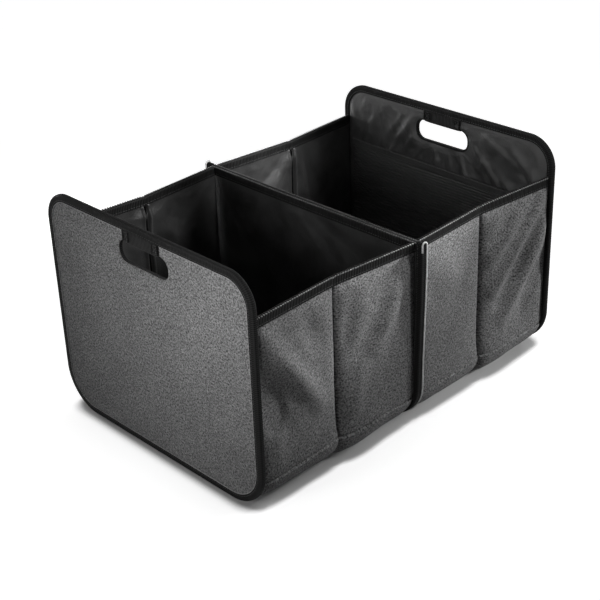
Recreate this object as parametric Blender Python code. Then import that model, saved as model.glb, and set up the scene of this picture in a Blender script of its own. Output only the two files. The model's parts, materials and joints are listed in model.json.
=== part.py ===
"""Folding storage box for a car boot, standing open, in metres.

The box stands on the ground with its length along X and its origin under its middle.
Two stiff end panels carry the hand slots, a divider stands between two compartments,
and each long wall is a chain of four stiff panels sewn into fabric. The walls are
creased inwards halfway along each compartment, and the floor is hinged there too, so
that a compartment folds flat when its end panel is pushed towards the divider.
"""

import math

import bmesh
import bpy
from mathutils import Vector

# Whole box
LENGTH = 0.500
END_WIDTH = 0.352
END_HEIGHT = 0.285
END_TOP_RADIUS = 0.038
END_BOTTOM_RADIUS = 0.052
WALL_HEIGHT = 0.237
WALL_SETBACK = 0.0045
CREASE_INSET = 0.009
CORNER_STEPS = 8
ANGLE_ROUNDS = 8

# Air between sewn layers, and between a stack of layers and the plane that it folds against
SEWN_GAP = 0.0003
FOLD_GAP = 0.00025

# End panels, from the outer cover to the lining, and the tape bound round their edge
END_COVER = 0.0008
END_BOARD = 0.0024
END_LINING = 0.0008
EDGE_TAPE = 0.001
EDGE_TAPE_LEG = 0.009

# Hand slots and the webbing grip over the bar above each slot
SLOT_WIDTH = 0.085
SLOT_HEIGHT = 0.027
SLOT_DROP = 0.022
SLOT_RADIUS = 0.012
GRIP_WIDTH = 0.064
GRIP_WEBBING = 0.001
GRIP_TAPE_CLEARANCE = 0.0005

# Ribbed pocket on the inner face of the right end panel
POCKET_TOP = 0.202
POCKET_WIDTH = 0.318
POCKET_SHEET = 0.0005
POCKET_RIB = 0.0003
POCKET_RIB_PITCH = 0.004
POCKET_HEM = 0.009

# Long walls
WALL_COVER = 0.0007
WALL_BOARD = 0.0016
WALL_LINING = 0.0007
TOP_TAPE = 0.0008
TOP_TAPE_LEG = 0.0115
WALL_END_MARGIN = 0.0005
BOARD_END_MARGIN = 0.0025
BOARD_FOOT_MARGIN = 0.0015

# Divider and the taped seam that holds it, which stands proud of the walls as a fin
DIVIDER_BOARD = 0.0024
DIVIDER_COVER = 0.0007
DIVIDER_BOARD_MARGIN = 0.006
SEAM_PROUD = 0.0115
SEAM_TAPE = 0.001
SEAM_TAPE_LEG = 0.010
SEAM_RADIUS = 0.055
SLEEVE_MOUTH = 0.220

# Floor and the base fabric that is sewn up into the walls round a soft corner
BASE_LIFT = 0.003
BASE_RADIUS = 0.042
BASE_FABRIC = 0.0008
FLOOR_BOARD = 0.0024
FLOOR_LINING = 0.0007
FLOOR_END_GAP = 0.007
FLOOR_EDGE_MARGIN = 0.0015
GUSSET_CLEARANCE = 0.0015

# Places worked out from the sizes above
END_STACK = 2 * EDGE_TAPE + END_COVER + END_BOARD + END_LINING + 4 * SEWN_GAP
END_INNER_FACE = LENGTH / 2 - END_STACK
SLOT_TOP = END_HEIGHT - SLOT_DROP
WALL_STACK = 2 * TOP_TAPE + WALL_COVER + WALL_BOARD + WALL_LINING + 4 * SEWN_GAP
WALL_THICKNESS = WALL_STACK + 2 * FOLD_GAP
DIVIDER_COVER_FACE = DIVIDER_BOARD / 2 + SEWN_GAP + DIVIDER_COVER
DIVIDER_HALF = DIVIDER_COVER_FACE + SEWN_GAP + TOP_TAPE
INNER_HINGE_X = DIVIDER_HALF + FOLD_GAP
OUTER_HINGE_X = END_INNER_FACE - FOLD_GAP
HALF_SPAN = (OUTER_HINGE_X - INNER_HINGE_X) / 2
CREASE_X = INNER_HINGE_X + HALF_SPAN
WALL_FACE = END_WIDTH / 2 - WALL_SETBACK
BASE_TOP = BASE_LIFT + BASE_RADIUS
WALL_FOOT = BASE_TOP + SEWN_GAP
LAYER_TOP = WALL_HEIGHT - TOP_TAPE - SEWN_GAP
FLOOR_HALF_WIDTH = WALL_FACE - BASE_RADIUS - FLOOR_EDGE_MARGIN
SEAM_FACE = WALL_FACE + SEAM_PROUD
SEAM_CHANNEL = DIVIDER_COVER_FACE + SEWN_GAP
SEAM_HALF = SEAM_CHANNEL + SEAM_TAPE
FLOOR_BOTTOM = BASE_LIFT + BASE_FABRIC + SEWN_GAP
FLOOR_TOP = FLOOR_BOTTOM + FLOOR_BOARD + SEWN_GAP + FLOOR_LINING
FLOOR_HINGE_Z = FLOOR_TOP + SEWN_GAP
FLOOR_FOLD_Z = FLOOR_BOTTOM - SEWN_GAP
FLOOR_RUN = HALF_SPAN - FLOOR_END_GAP / 2

# Colours as (red, green, blue, alpha), with roughness
GREY_MELANGE = ((0.075, 0.077, 0.079, 1.0), 0.92)
BLACK_NYLON = ((0.012, 0.012, 0.013, 1.0), 0.55)
BLACK_TAPE = ((0.016, 0.016, 0.017, 1.0), 0.72)
GREY_BOARD = ((0.30, 0.29, 0.27, 1.0), 0.85)


def crease_angle():
    """Angle between an open wall panel and the box's length, from the crease's inset."""
    angle = 0.0
    for _ in range(ANGLE_ROUNDS):
        run = HALF_SPAN - WALL_THICKNESS * math.sin(angle)
        angle = math.atan2(CREASE_INSET, run)
    return angle


CREASE_ANGLE = crease_angle()
PANEL_RUN = (HALF_SPAN - WALL_THICKNESS * math.sin(CREASE_ANGLE)) / math.cos(CREASE_ANGLE)
HINGE_Y = WALL_FACE - (WALL_THICKNESS - FOLD_GAP) * math.cos(CREASE_ANGLE)
CREASE_Y = (
    HINGE_Y
    - PANEL_RUN * math.sin(CREASE_ANGLE)
    + WALL_THICKNESS * math.cos(CREASE_ANGLE)
)

# Gusset: past these distances from their hinges, the wall's foot rises and the floor's
# edge runs inwards, both at 45 degrees, so that the folded walls and floor lie side by side
WALL_GUSSET_START = HINGE_Y - FLOOR_HALF_WIDTH - GUSSET_CLEARANCE
FLOOR_GUSSET_START = WALL_FOOT - FLOOR_HINGE_Z - GUSSET_CLEARANCE


def clear_scene():
    """Remove the objects that the file opens with."""
    for item in list(bpy.data.objects):
        bpy.data.objects.remove(item, do_unlink=True)


def finish(name, look):
    """Plain material of one piece, from its colour and roughness."""
    colour, roughness = look
    material = bpy.data.materials.new(name)
    material.use_nodes = True
    shader = material.node_tree.nodes["Principled BSDF"]
    shader.inputs["Base Color"].default_value = colour
    shader.inputs["Roughness"].default_value = roughness
    shader.inputs["Metallic"].default_value = 0.0
    return material


def pivot(name, location, turn=0.0):
    """Empty on a joint's axis, which carries the pieces that move about it."""
    empty = bpy.data.objects.new(name, None)
    empty.location = location
    empty.rotation_euler = (0.0, 0.0, turn)
    bpy.context.collection.objects.link(empty)
    return empty


def add_piece(name, bm, look, carrier=None, local=False):
    """Turn a bmesh into the object of one piece and hang it on its carrier.

    A mesh in the box's own frame keeps its place there, and a local one is already
    measured from its carrier.
    """
    bmesh.ops.recalc_face_normals(bm, faces=bm.faces)
    mesh = bpy.data.meshes.new(name)
    bm.to_mesh(mesh)
    bm.free()
    piece = bpy.data.objects.new(name, mesh)
    if look is not None:
        mesh.materials.append(finish(name, look))
    bpy.context.collection.objects.link(piece)
    if carrier is not None:
        piece.parent = carrier
        if not local:
            piece.location = -carrier.location
    return piece


def add_cutter(name, bm, target, operation="DIFFERENCE"):
    """Hidden guide that cuts a piece with an exact Boolean modifier."""
    cutter = add_piece(name, bm, None)
    cutter.hide_render = True
    cutter.display_type = "WIRE"
    boolean = target.modifiers.new(name, "BOOLEAN")
    boolean.operation = operation
    boolean.solver = "EXACT"
    boolean.object = cutter
    return cutter


def arc(centre, radius, start, end):
    """Points (y, z) of a corner, between two angles in degrees, or its sharp point."""
    if radius <= 0.0:
        return [centre]
    angles = [start + (end - start) * step / CORNER_STEPS for step in range(CORNER_STEPS + 1)]
    return [
        (
            centre[0] + radius * math.cos(math.radians(angle)),
            centre[1] + radius * math.sin(math.radians(angle)),
        )
        for angle in angles
    ]


def panel_outline(half_width, bottom, top, bottom_radius, top_radius):
    """Points (y, z) round an upright panel with rounded or sharp corners."""
    foot = half_width - bottom_radius
    head = half_width - top_radius
    low = bottom + bottom_radius
    high = top - top_radius
    points = arc((foot, low), bottom_radius, -90, 0)
    points += arc((head, high), top_radius, 0, 90)
    points += arc((-head, high), top_radius, 90, 180)
    points += arc((-foot, low), bottom_radius, 180, 270)
    return points


def end_outline(inset=0.0):
    """Outline of an end panel, pulled in by inset."""
    return panel_outline(
        END_WIDTH / 2 - inset,
        inset,
        END_HEIGHT - inset,
        END_BOTTOM_RADIUS - inset,
        END_TOP_RADIUS - inset,
    )


def trough_path(half_width, bottom, top, radius, inset=0.0):
    """Points (y, z) down one side, under the box and up the other, pulled in by inset."""
    side = half_width - inset
    low = bottom + inset
    bend = radius - inset
    points = [(-side, top)]
    points += arc((-side + bend, low + bend), bend, 180, 270)
    points += arc((side - bend, low + bend), bend, 270, 360)
    points.append((side, top))
    return points


def extruded(points, shift):
    """Solid between a flat outline of 3-D points and its copy moved by shift."""
    bm = bmesh.new()
    face = bm.faces.new([bm.verts.new(point) for point in points])
    moved = bmesh.ops.extrude_face_region(bm, geom=[face])
    tops = [item for item in moved["geom"] if isinstance(item, bmesh.types.BMVert)]
    bmesh.ops.translate(bm, verts=tops, vec=shift)
    return bm


def plate(outline, low, high):
    """Flat sheet across X between low and high, from an outline of (y, z) points."""
    points = [(low, y, z) for y, z in outline]
    return extruded(points, Vector((high - low, 0.0, 0.0)))


def bar(corners, low, high):
    """Straight bar along Y between low and high, from (x, z) corners of its section."""
    points = [(x, low, z) for x, z in corners]
    return extruded(points, Vector((0.0, high - low, 0.0)))


def block(low, high):
    """Solid box between two corners."""
    corners = [
        (low[0], low[1], low[2]),
        (high[0], low[1], low[2]),
        (high[0], high[1], low[2]),
        (low[0], high[1], low[2]),
    ]
    return extruded(corners, Vector((0.0, 0.0, high[2] - low[2])))


def swept(sections, closed):
    """Solid through equal sections: a closed ring, or an open run with capped ends."""
    bm = bmesh.new()
    loops = [[bm.verts.new(point) for point in section] for section in sections]
    pairs = list(zip(loops, loops[1:]))
    if closed:
        pairs.append((loops[-1], loops[0]))
    else:
        bm.faces.new(loops[0])
        bm.faces.new(loops[-1])
    for near, far in pairs:
        for index in range(len(near)):
            bm.faces.new((near[index - 1], near[index], far[index], far[index - 1]))
    return bm


def channel_corners(depth, thickness, low, high):
    """Corners (inset, x) of a folded tape's U section, which opens inwards."""
    return [
        (0.0, low),
        (0.0, high),
        (depth, high),
        (depth, high - thickness),
        (thickness, high - thickness),
        (thickness, low + thickness),
        (depth, low + thickness),
        (depth, low),
    ]


def bound_edge(path, corners, closed):
    """Tape folded over an edge: path(inset) gives the edge's points pulled inwards."""
    rails = [(x, path(inset)) for inset, x in corners]
    count = len(rails[0][1])
    sections = [
        [(x, *points[station]) for x, points in rails]
        for station in range(count)
    ]
    return swept(sections, closed)


def end_layers(side):
    """Depths of an end panel's layers as (name, near face, far face) along +X or -X."""
    cover_face = LENGTH / 2 - EDGE_TAPE - SEWN_GAP
    board_face = cover_face - END_COVER - SEWN_GAP
    lining_face = board_face - END_BOARD - SEWN_GAP
    return (
        ("cover", side * cover_face, side * (cover_face - END_COVER)),
        ("board", side * board_face, side * (board_face - END_BOARD)),
        ("lining", side * lining_face, side * (lining_face - END_LINING)),
    )


def slot_outline():
    """Outline of the hand slot."""
    return panel_outline(
        SLOT_WIDTH / 2, SLOT_TOP - SLOT_HEIGHT, SLOT_TOP, SLOT_RADIUS, SLOT_RADIUS
    )


def add_end_panel(name, side):
    """End panel: cover, board and lining with a hand slot, bound edge and grip."""
    hinge = pivot(f"{name}_end_hinge", (side * OUTER_HINGE_X, -HINGE_Y, END_HEIGHT / 2))
    looks = {"cover": GREY_MELANGE, "board": GREY_BOARD, "lining": BLACK_NYLON}
    inset = EDGE_TAPE + SEWN_GAP
    for layer, outer, inner in end_layers(side):
        piece_name = f"{name}_end_{layer}"
        piece = add_piece(piece_name, plate(end_outline(inset), outer, inner), looks[layer], hinge)
        reach = side * LENGTH
        add_cutter(f"{piece_name}_slot", plate(slot_outline(), 0.0, reach), piece)
    faces = sorted((side * END_INNER_FACE, side * LENGTH / 2))
    corners = channel_corners(EDGE_TAPE_LEG, EDGE_TAPE, *faces)
    add_piece(
        f"{name}_end_edge_tape", bound_edge(end_outline, corners, True), BLACK_TAPE, hinge
    )
    add_grip(name, side, hinge)
    return hinge


def add_grip(name, side, hinge):
    """Webbing folded through the slot and over both faces of the bar above it."""
    under = SLOT_TOP - SEWN_GAP
    low = under - GRIP_WEBBING
    high = END_HEIGHT - EDGE_TAPE_LEG - GRIP_TAPE_CLEARANCE
    outer = side * LENGTH / 2
    inner = side * END_INNER_FACE
    outer_back = outer - side * GRIP_WEBBING
    inner_back = inner + side * GRIP_WEBBING
    corners = [
        (outer, low),
        (outer, high),
        (outer_back, high),
        (outer_back, under),
        (inner_back, under),
        (inner_back, high),
        (inner, high),
        (inner, low),
    ]
    add_piece(
        f"{name}_end_grip", bar(corners, -GRIP_WIDTH / 2, GRIP_WIDTH / 2), BLACK_TAPE, hinge
    )


def add_pocket(hinge):
    """Ribbed pocket, open along its top hem, over the right end panel's lining."""
    lining_face = end_layers(1)[2][2]
    back = lining_face - SEWN_GAP
    face = back - POCKET_SHEET
    ridge = face - POCKET_RIB
    foot = EDGE_TAPE_LEG + SEWN_GAP
    hem_foot = POCKET_TOP - POCKET_HEM
    count = int((hem_foot - foot) / POCKET_RIB_PITCH)
    profile = [(back, POCKET_TOP), (back, foot), (face, foot)]
    start = hem_foot - count * POCKET_RIB_PITCH
    for rib in range(count):
        low = start + rib * POCKET_RIB_PITCH
        profile.append((face, low + POCKET_RIB_PITCH * 0.1))
        profile.append((ridge, low + POCKET_RIB_PITCH * 0.5))
        profile.append((face, low + POCKET_RIB_PITCH * 0.9))
    profile.append((face, hem_foot))
    profile.append((ridge, hem_foot))
    profile.append((ridge, POCKET_TOP))
    width = POCKET_WIDTH / 2
    pocket = add_piece("right_end_pocket", bar(profile, -width, width), BLACK_NYLON, hinge)
    trim = plate(end_outline(foot), ridge - END_STACK, LENGTH / 2)
    add_cutter("right_end_pocket_corners", trim, pocket, "INTERSECT")


def wall_layers():
    """Layers of a wall as (name, near face, far face), from the lining outwards."""
    lining = FOLD_GAP + TOP_TAPE + SEWN_GAP
    board = lining + WALL_LINING + SEWN_GAP
    cover = board + WALL_BOARD + SEWN_GAP
    return (
        ("lining", lining, lining + WALL_LINING),
        ("board", board, board + WALL_BOARD),
        ("cover", cover, cover + WALL_COVER),
    )


def wall_outline(end_margin, foot_margin):
    """Points (distance from the hinge, z) round a wall layer, with its gusset corner."""
    end = PANEL_RUN - end_margin
    foot = WALL_FOOT + foot_margin
    return [
        (end_margin, foot),
        (WALL_GUSSET_START, foot),
        (end, foot + end - WALL_GUSSET_START),
        (end, LAYER_TOP),
        (end_margin, LAYER_TOP),
    ]


def add_wall_panel(name, hinge, run, face, start):
    """One stiff wall panel between a hinge and the crease, in its hinge's frame.

    run and face are +1 or -1: the way along X to the crease, and the outward way
    along Y. start is where the carrying hinge lies along and across the panel.
    """
    looks = {"cover": GREY_MELANGE, "board": GREY_BOARD, "lining": BLACK_NYLON}
    cloth = wall_outline(WALL_END_MARGIN, 0.0)
    outlines = {
        "cover": cloth,
        "board": wall_outline(BOARD_END_MARGIN, BOARD_FOOT_MARGIN),
        "lining": cloth,
    }
    for layer, near, far in wall_layers():
        points = [
            (run * (along - start[0]), face * (near - start[1]), z)
            for along, z in outlines[layer]
        ]
        sheet = extruded(points, Vector((0.0, face * (far - near), 0.0)))
        add_piece(f"{name}_{layer}", sheet, looks[layer], hinge, local=True)
    corners = channel_corners(
        TOP_TAPE_LEG, TOP_TAPE, FOLD_GAP - start[1], WALL_THICKNESS - FOLD_GAP - start[1]
    )
    begin = run * (WALL_END_MARGIN - start[0])
    end = run * (PANEL_RUN - WALL_END_MARGIN - start[0])
    section = [(begin, face * across, WALL_HEIGHT - drop) for drop, across in corners]
    tape = extruded(section, Vector((end - begin, 0.0, 0.0)))
    add_piece(f"{name}_top_tape", tape, BLACK_TAPE, hinge, local=True)


def add_wall(name, side, face):
    """Wall of one compartment: an inner and an outer panel that meet at the crease."""
    turn = side * face * CREASE_ANGLE
    inner = pivot(f"{name}_inner_hinge", (side * INNER_HINGE_X, face * HINGE_Y, 0.0), -turn)
    add_wall_panel(f"{name}_inner_wall", inner, side, face, (0.0, 0.0))
    crease = pivot(f"{name}_crease", (side * CREASE_X, face * CREASE_Y, 0.0), turn)
    add_wall_panel(f"{name}_outer_wall", crease, -side, face, (PANEL_RUN, WALL_THICKNESS))


def floor_outline():
    """Points (distance from the hinge, y) round half a compartment's floor."""
    end = FLOOR_RUN - WALL_END_MARGIN
    edge = [
        (WALL_END_MARGIN, FLOOR_HALF_WIDTH),
        (FLOOR_GUSSET_START, FLOOR_HALF_WIDTH),
        (end, FLOOR_HALF_WIDTH - (end - FLOOR_GUSSET_START)),
    ]
    return edge + [(along, -half) for along, half in reversed(edge)]


def add_floor(name, side):
    """Floor of one compartment: two mitred boards with their lining, hinged together."""
    board_top = FLOOR_BOTTOM + FLOOR_BOARD
    layers = (
        ("board", FLOOR_BOTTOM, board_top, GREY_BOARD),
        ("lining", board_top + SEWN_GAP, FLOOR_TOP, BLACK_NYLON),
    )
    halves = (
        ("inner", INNER_HINGE_X, side, (side * INNER_HINGE_X, 0.0, FLOOR_HINGE_Z)),
        (
            "outer",
            INNER_HINGE_X + 2 * FLOOR_RUN,
            -side,
            (side * (INNER_HINGE_X + FLOOR_RUN), 0.0, FLOOR_FOLD_Z),
        ),
    )
    for half, origin, way, place in halves:
        hinge = pivot(f"{name}_{half}_floor_hinge", place)
        for layer, low, high, look in layers:
            points = [(side * origin + way * along, y, low) for along, y in floor_outline()]
            sheet = extruded(points, Vector((0.0, 0.0, high - low)))
            add_piece(f"{name}_{half}_floor_{layer}", sheet, look, hinge)


def trough_section(x, half_width, top):
    """Points round the base fabric's trough at one place along the box."""
    outer = trough_path(half_width, BASE_LIFT, top, BASE_RADIUS)
    inner = trough_path(half_width, BASE_LIFT, top, BASE_RADIUS, BASE_FABRIC)
    return [(x, y, z) for y, z in outer + list(reversed(inner))]


def add_base(name, side):
    """Base fabric of one compartment, in two troughs that meet under the crease.

    Each trough is low beside its hinge, and rises under the wall's gusset corner.
    """
    spans = (
        ("inner", 1, INNER_HINGE_X, SEAM_HALF + SEWN_GAP),
        ("outer", -1, OUTER_HINGE_X, END_INNER_FACE - SEWN_GAP),
    )
    slope = CREASE_INSET / HALF_SPAN
    for half, way, hinge_x, end in spans:
        stations = (
            (end, 0.0, 0.0),
            (hinge_x + way * WALL_GUSSET_START, WALL_GUSSET_START, 0.0),
            (CREASE_X - way * SEWN_GAP, HALF_SPAN, HALF_SPAN - WALL_GUSSET_START),
        )
        sections = [
            trough_section(side * x, WALL_FACE - slope * along, BASE_TOP + rise)
            for x, along, rise in stations
        ]
        add_piece(f"{name}_{half}_base_fabric", swept(sections, False), GREY_MELANGE)


def add_divider():
    """Divider: a board in a fabric sleeve, with a top tape and the taped seam."""
    cover_inset = SEAM_TAPE + SEWN_GAP

    def outline(inset, top):
        """Outline of the divider, pulled in from the seam's outer edge."""
        return panel_outline(SEAM_FACE - inset, inset, top, SEAM_RADIUS - inset, 0.0)

    cover = add_piece(
        "divider_cover",
        plate(outline(cover_inset, LAYER_TOP), -DIVIDER_COVER_FACE, DIVIDER_COVER_FACE),
        BLACK_NYLON,
    )
    hollow = DIVIDER_COVER_FACE - DIVIDER_COVER
    add_cutter(
        "divider_sleeve",
        plate(outline(cover_inset + DIVIDER_COVER, LAYER_TOP - DIVIDER_COVER), -hollow, hollow),
        cover,
    )
    mouth = SLEEVE_MOUTH / 2
    add_cutter(
        "divider_sleeve_mouth",
        block((-hollow, -mouth, -SEAM_TAPE_LEG), (hollow, mouth, SEAM_TAPE_LEG)),
        cover,
    )
    board_inset = SEAM_TAPE_LEG + DIVIDER_BOARD_MARGIN
    board_top = LAYER_TOP - DIVIDER_COVER - SEWN_GAP
    add_piece(
        "divider_board",
        plate(outline(board_inset, board_top), -DIVIDER_BOARD / 2, DIVIDER_BOARD / 2),
        GREY_BOARD,
    )
    corners = channel_corners(TOP_TAPE_LEG, TOP_TAPE, -DIVIDER_HALF, DIVIDER_HALF)
    section = [(x, WALL_HEIGHT - drop) for drop, x in corners]
    reach = SEAM_FACE - SEAM_TAPE_LEG - SEWN_GAP
    add_piece("divider_top_tape", bar(section, -reach, reach), BLACK_TAPE)

    def seam_path(inset):
        """Path of the seam round the box, pulled in from its outer edge."""
        return trough_path(SEAM_FACE, 0.0, LAYER_TOP, SEAM_RADIUS, inset)

    seam_corners = channel_corners(SEAM_TAPE_LEG, SEAM_TAPE, -SEAM_HALF, SEAM_HALF)
    add_piece("divider_seam_tape", bound_edge(seam_path, seam_corners, False), BLACK_TAPE)


def build():
    """Model the whole box."""
    clear_scene()
    add_divider()
    for name, side in (("left", -1), ("right", 1)):
        hinge = add_end_panel(name, side)
        if side > 0:
            add_pocket(hinge)
        for wall, face in (("front", -1), ("rear", 1)):
            add_wall(f"{name}_{wall}", side, face)
        add_floor(name, side)
        add_base(name, side)


build()
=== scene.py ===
"""Looks of a folding storage box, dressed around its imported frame.

The box has two compartments between stiff end panels. X runs along it, Y across it and Z up.
Lengths are in metres and angles in degrees. Cloth pieces carry a UV map in metres, along and
across the cloth, which their weave and ribs follow.
"""

import json
import logging
import math
from collections.abc import Callable, Sequence
from dataclasses import dataclass
from enum import Enum

import bmesh
import bpy
from mathutils import Matrix, Vector, noise

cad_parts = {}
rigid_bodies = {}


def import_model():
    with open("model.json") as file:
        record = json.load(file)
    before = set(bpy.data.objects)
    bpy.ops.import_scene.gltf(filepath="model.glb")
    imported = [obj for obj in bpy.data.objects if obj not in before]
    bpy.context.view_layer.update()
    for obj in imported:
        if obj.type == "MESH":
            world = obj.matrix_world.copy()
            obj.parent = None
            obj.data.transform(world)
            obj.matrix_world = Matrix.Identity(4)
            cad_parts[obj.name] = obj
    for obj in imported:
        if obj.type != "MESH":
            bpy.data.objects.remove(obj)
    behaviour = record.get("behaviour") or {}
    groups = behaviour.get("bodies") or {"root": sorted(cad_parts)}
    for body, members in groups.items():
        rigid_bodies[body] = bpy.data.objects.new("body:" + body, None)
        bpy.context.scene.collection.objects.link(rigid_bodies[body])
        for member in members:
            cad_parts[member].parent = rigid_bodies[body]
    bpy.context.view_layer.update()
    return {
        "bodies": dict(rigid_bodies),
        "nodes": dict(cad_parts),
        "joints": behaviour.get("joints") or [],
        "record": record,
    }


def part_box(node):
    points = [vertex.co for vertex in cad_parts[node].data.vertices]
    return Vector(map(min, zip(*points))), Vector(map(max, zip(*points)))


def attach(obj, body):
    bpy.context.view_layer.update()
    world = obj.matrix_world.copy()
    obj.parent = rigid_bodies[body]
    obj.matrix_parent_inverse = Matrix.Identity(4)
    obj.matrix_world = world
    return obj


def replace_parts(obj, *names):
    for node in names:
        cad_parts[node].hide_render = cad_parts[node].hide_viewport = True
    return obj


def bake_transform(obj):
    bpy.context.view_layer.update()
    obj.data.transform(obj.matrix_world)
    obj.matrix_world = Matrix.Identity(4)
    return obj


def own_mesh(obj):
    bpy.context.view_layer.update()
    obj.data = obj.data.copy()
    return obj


LOG = logging.getLogger("storage_box")
CLOTH_UV = "cloth"
SHARP_EDGE = math.radians(50.0)
JOIN_DISTANCE = 1e-6
SIDES = (("left", -1), ("right", 1))
FACES = (("front", -1), ("rear", 1))

STITCH_PITCH = 0.0036
FOLD_POINT = 11
HALVES = ("inner", "outer")
ALONG_X, ALONG_Y, ALONG_Z = (Vector(way) for way in ((1, 0, 0), (0, 1, 0), (0, 0, 1)))

Socket = bpy.types.NodeSocket
Node = bpy.types.Node
Material = bpy.types.Material
Thing = bpy.types.Object
Flat = tuple[float, float]
Three = tuple[float, float, float]
Placed = tuple[Vector, Flat]
Pair = tuple[Vector, Vector]
Track = tuple[Vector, Vector, Vector]
Placer = Callable[[float, float], Placed]
Seam = Callable[[float], Pair]
Rail = Callable[[float], Track]


class Close(Enum):
    """Which way a grid of cloth runs back into itself."""

    NONE = "none"
    LOOP = "loop"


def smooth(low: float, high: float, value: float) -> float:
    """Share from 0 at low to 1 at high, easing in and out.

    Args:
        low: Value at which the share is 0.
        high: Value at which the share is 1.
        value: Value that is judged.

    Returns:
        The eased share.
    """
    share = min(1.0, max(0.0, (value - low) / (high - low)))
    return share * share * (3.0 - 2.0 * share)


def held_above(value: float, lowest: float, ease: float = 0.0005) -> float:
    """Keep a value above a lowest one, easing into it.

    Args:
        value: Value that is held.
        lowest: Value that it never falls below.
        ease: How softly it turns.

    Returns:
        The held value.
    """
    over = value - lowest
    return lowest + 0.5 * (over + math.sqrt(over * over + ease * ease))


def swell(place: Vector, size: float, seed: float) -> float:
    """Gentle unevenness of cloth.

    Args:
        place: Point on the cloth, in metres.
        size: Distance over which the cloth changes.
        seed: Number that sets this cloth apart from the others.

    Returns:
        A value from about -1 to 1.
    """
    return noise.noise(place / size + Vector((seed, seed * 1.7, -seed)))


def crinkle(place: Vector, size: float, seed: float) -> float:
    """Sharp little ridges of crumpled nylon.

    Args:
        place: Point on the cloth, in metres.
        size: Distance between the ridges.
        seed: Number that sets this cloth apart from the others.

    Returns:
        A value from 0 to 1, near 1 only on the ridges.
    """
    return max(0.0, 1.0 - 2.6 * abs(swell(place, size, seed))) ** 2


def pucker(distance: float, depth: float) -> float:
    """Rise and fall of a taped edge between its stitches."""
    return depth * math.sin(distance / STITCH_PITCH * 2.0 * math.pi)


def soft_folds(rows: Sequence[Sequence[float]]) -> list["SoftFold"]:
    """Folds from rows of both ends' places, the width and the height."""
    return [SoftFold(row[:2], row[2:4], *row[4:]) for row in rows]


def grey(level: float) -> Three:
    """Plain grey of one level."""
    return level, level, level


@dataclass(frozen=True)
class SoftFold:
    """Soft ridge, or hollow, that runs between two points of a cloth.

    Attributes:
        start: Where it begins, along and up the cloth.
        end: Where it ends.
        width: How far it reaches to each side.
        height: How far it stands out; negative for a hollow.
    """

    start: Flat
    end: Flat
    width: float
    height: float

    def lift(self, along: float, up: float) -> float:
        """How far the fold lifts one point of the cloth.

        Args:
            along: Place of the point along the cloth.
            up: Place of the point up the cloth.

        Returns:
            The lift in metres.
        """
        run = (self.end[0] - self.start[0], self.end[1] - self.start[1])
        off = (along - self.start[0], up - self.start[1])
        share = (off[0] * run[0] + off[1] * run[1]) / (run[0] ** 2 + run[1] ** 2)
        share = min(1.0, max(0.0, share))
        away = math.hypot(off[0] - share * run[0], off[1] - share * run[1])
        fade = 0.45 + 0.55 * math.sin(math.pi * min(1.0, max(0.0, share)))
        return self.height * fade * math.exp(-((away / self.width) ** 2))


@dataclass(frozen=True)
class RoundedOutline:
    """Upright outline with rounded corners, walked from the middle of its foot.

    Attributes:
        half_width: Half its width along Y.
        low: Height of its foot.
        high: Height of its head.
        low_radius: Radius of its lower corners.
        high_radius: Radius of its upper corners.
    """

    half_width: float
    low: float
    high: float
    low_radius: float
    high_radius: float

    @property
    def foot_run(self) -> float:
        """Length of half its straight foot."""
        return self.half_width - self.low_radius

    @property
    def corner_end(self) -> float:
        """Distance from the middle of its foot to the top of a lower corner."""
        return self.foot_run + math.pi / 2 * self.low_radius

    @property
    def side_run(self) -> float:
        """Length of one straight side."""
        return self.high - self.high_radius - self.low - self.low_radius

    @property
    def half_length(self) -> float:
        """Distance round one side, from the middle of its foot to that of its head."""
        head = self.half_width - self.high_radius
        return self.corner_end + self.side_run + math.pi / 2 * self.high_radius + head

    def at(self, share: float) -> Pair:
        """Point and outward direction at a share of the way right round."""
        return self.station((2.0 * (share % 1.0) - 1.0) * self.half_length)

    def station(self, distance: float) -> Pair:
        """Point of the outline and its outward direction.

        Args:
            distance: Way from the middle of the foot, negative towards -Y.

        Returns:
            The point and the direction, both as (0, y, z).
        """
        way = 1.0 if distance >= 0.0 else -1.0
        left = abs(distance)
        if left <= self.foot_run:
            return Vector((0.0, way * left, self.low)), Vector((0.0, 0.0, -1.0))
        left -= self.foot_run
        corner = math.pi / 2 * self.low_radius
        if left <= corner:
            turn = left / self.low_radius
            out = Vector((0.0, way * math.sin(turn), -math.cos(turn)))
            centre = Vector((0.0, way * self.foot_run, self.low + self.low_radius))
            return centre + out * self.low_radius, out
        left -= corner
        if left <= self.side_run or self.high_radius <= 0.0:
            height = self.low + self.low_radius + left
            return Vector((0.0, way * self.half_width, height)), Vector((0.0, way, 0.0))
        left -= self.side_run
        head = self.half_width - self.high_radius
        corner = math.pi / 2 * self.high_radius
        if left <= corner:
            turn = left / self.high_radius
            out = Vector((0.0, way * math.cos(turn), math.sin(turn)))
            centre = Vector((0.0, way * head, self.high - self.high_radius))
            return centre + out * self.high_radius, out
        left -= corner
        return Vector((0.0, way * (head - left), self.high)), Vector((0.0, 0.0, 1.0))

    def holds(self, place: Vector) -> bool:
        """Whether a point (0, y, z) lies inside the outline.

        Args:
            place: The point.

        Returns:
            True inside.
        """
        across = abs(place.y)
        if across > self.half_width or not self.low < place.z < self.high:
            return False
        if place.z < (self.low + self.high) / 2:
            radius = self.low_radius
            over = self.low + radius - place.z
        else:
            radius = self.high_radius
            over = place.z - self.high + radius
        beyond = across - self.half_width + radius
        return min(over, beyond) <= 0.0 or math.hypot(over, beyond) <= radius


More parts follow.
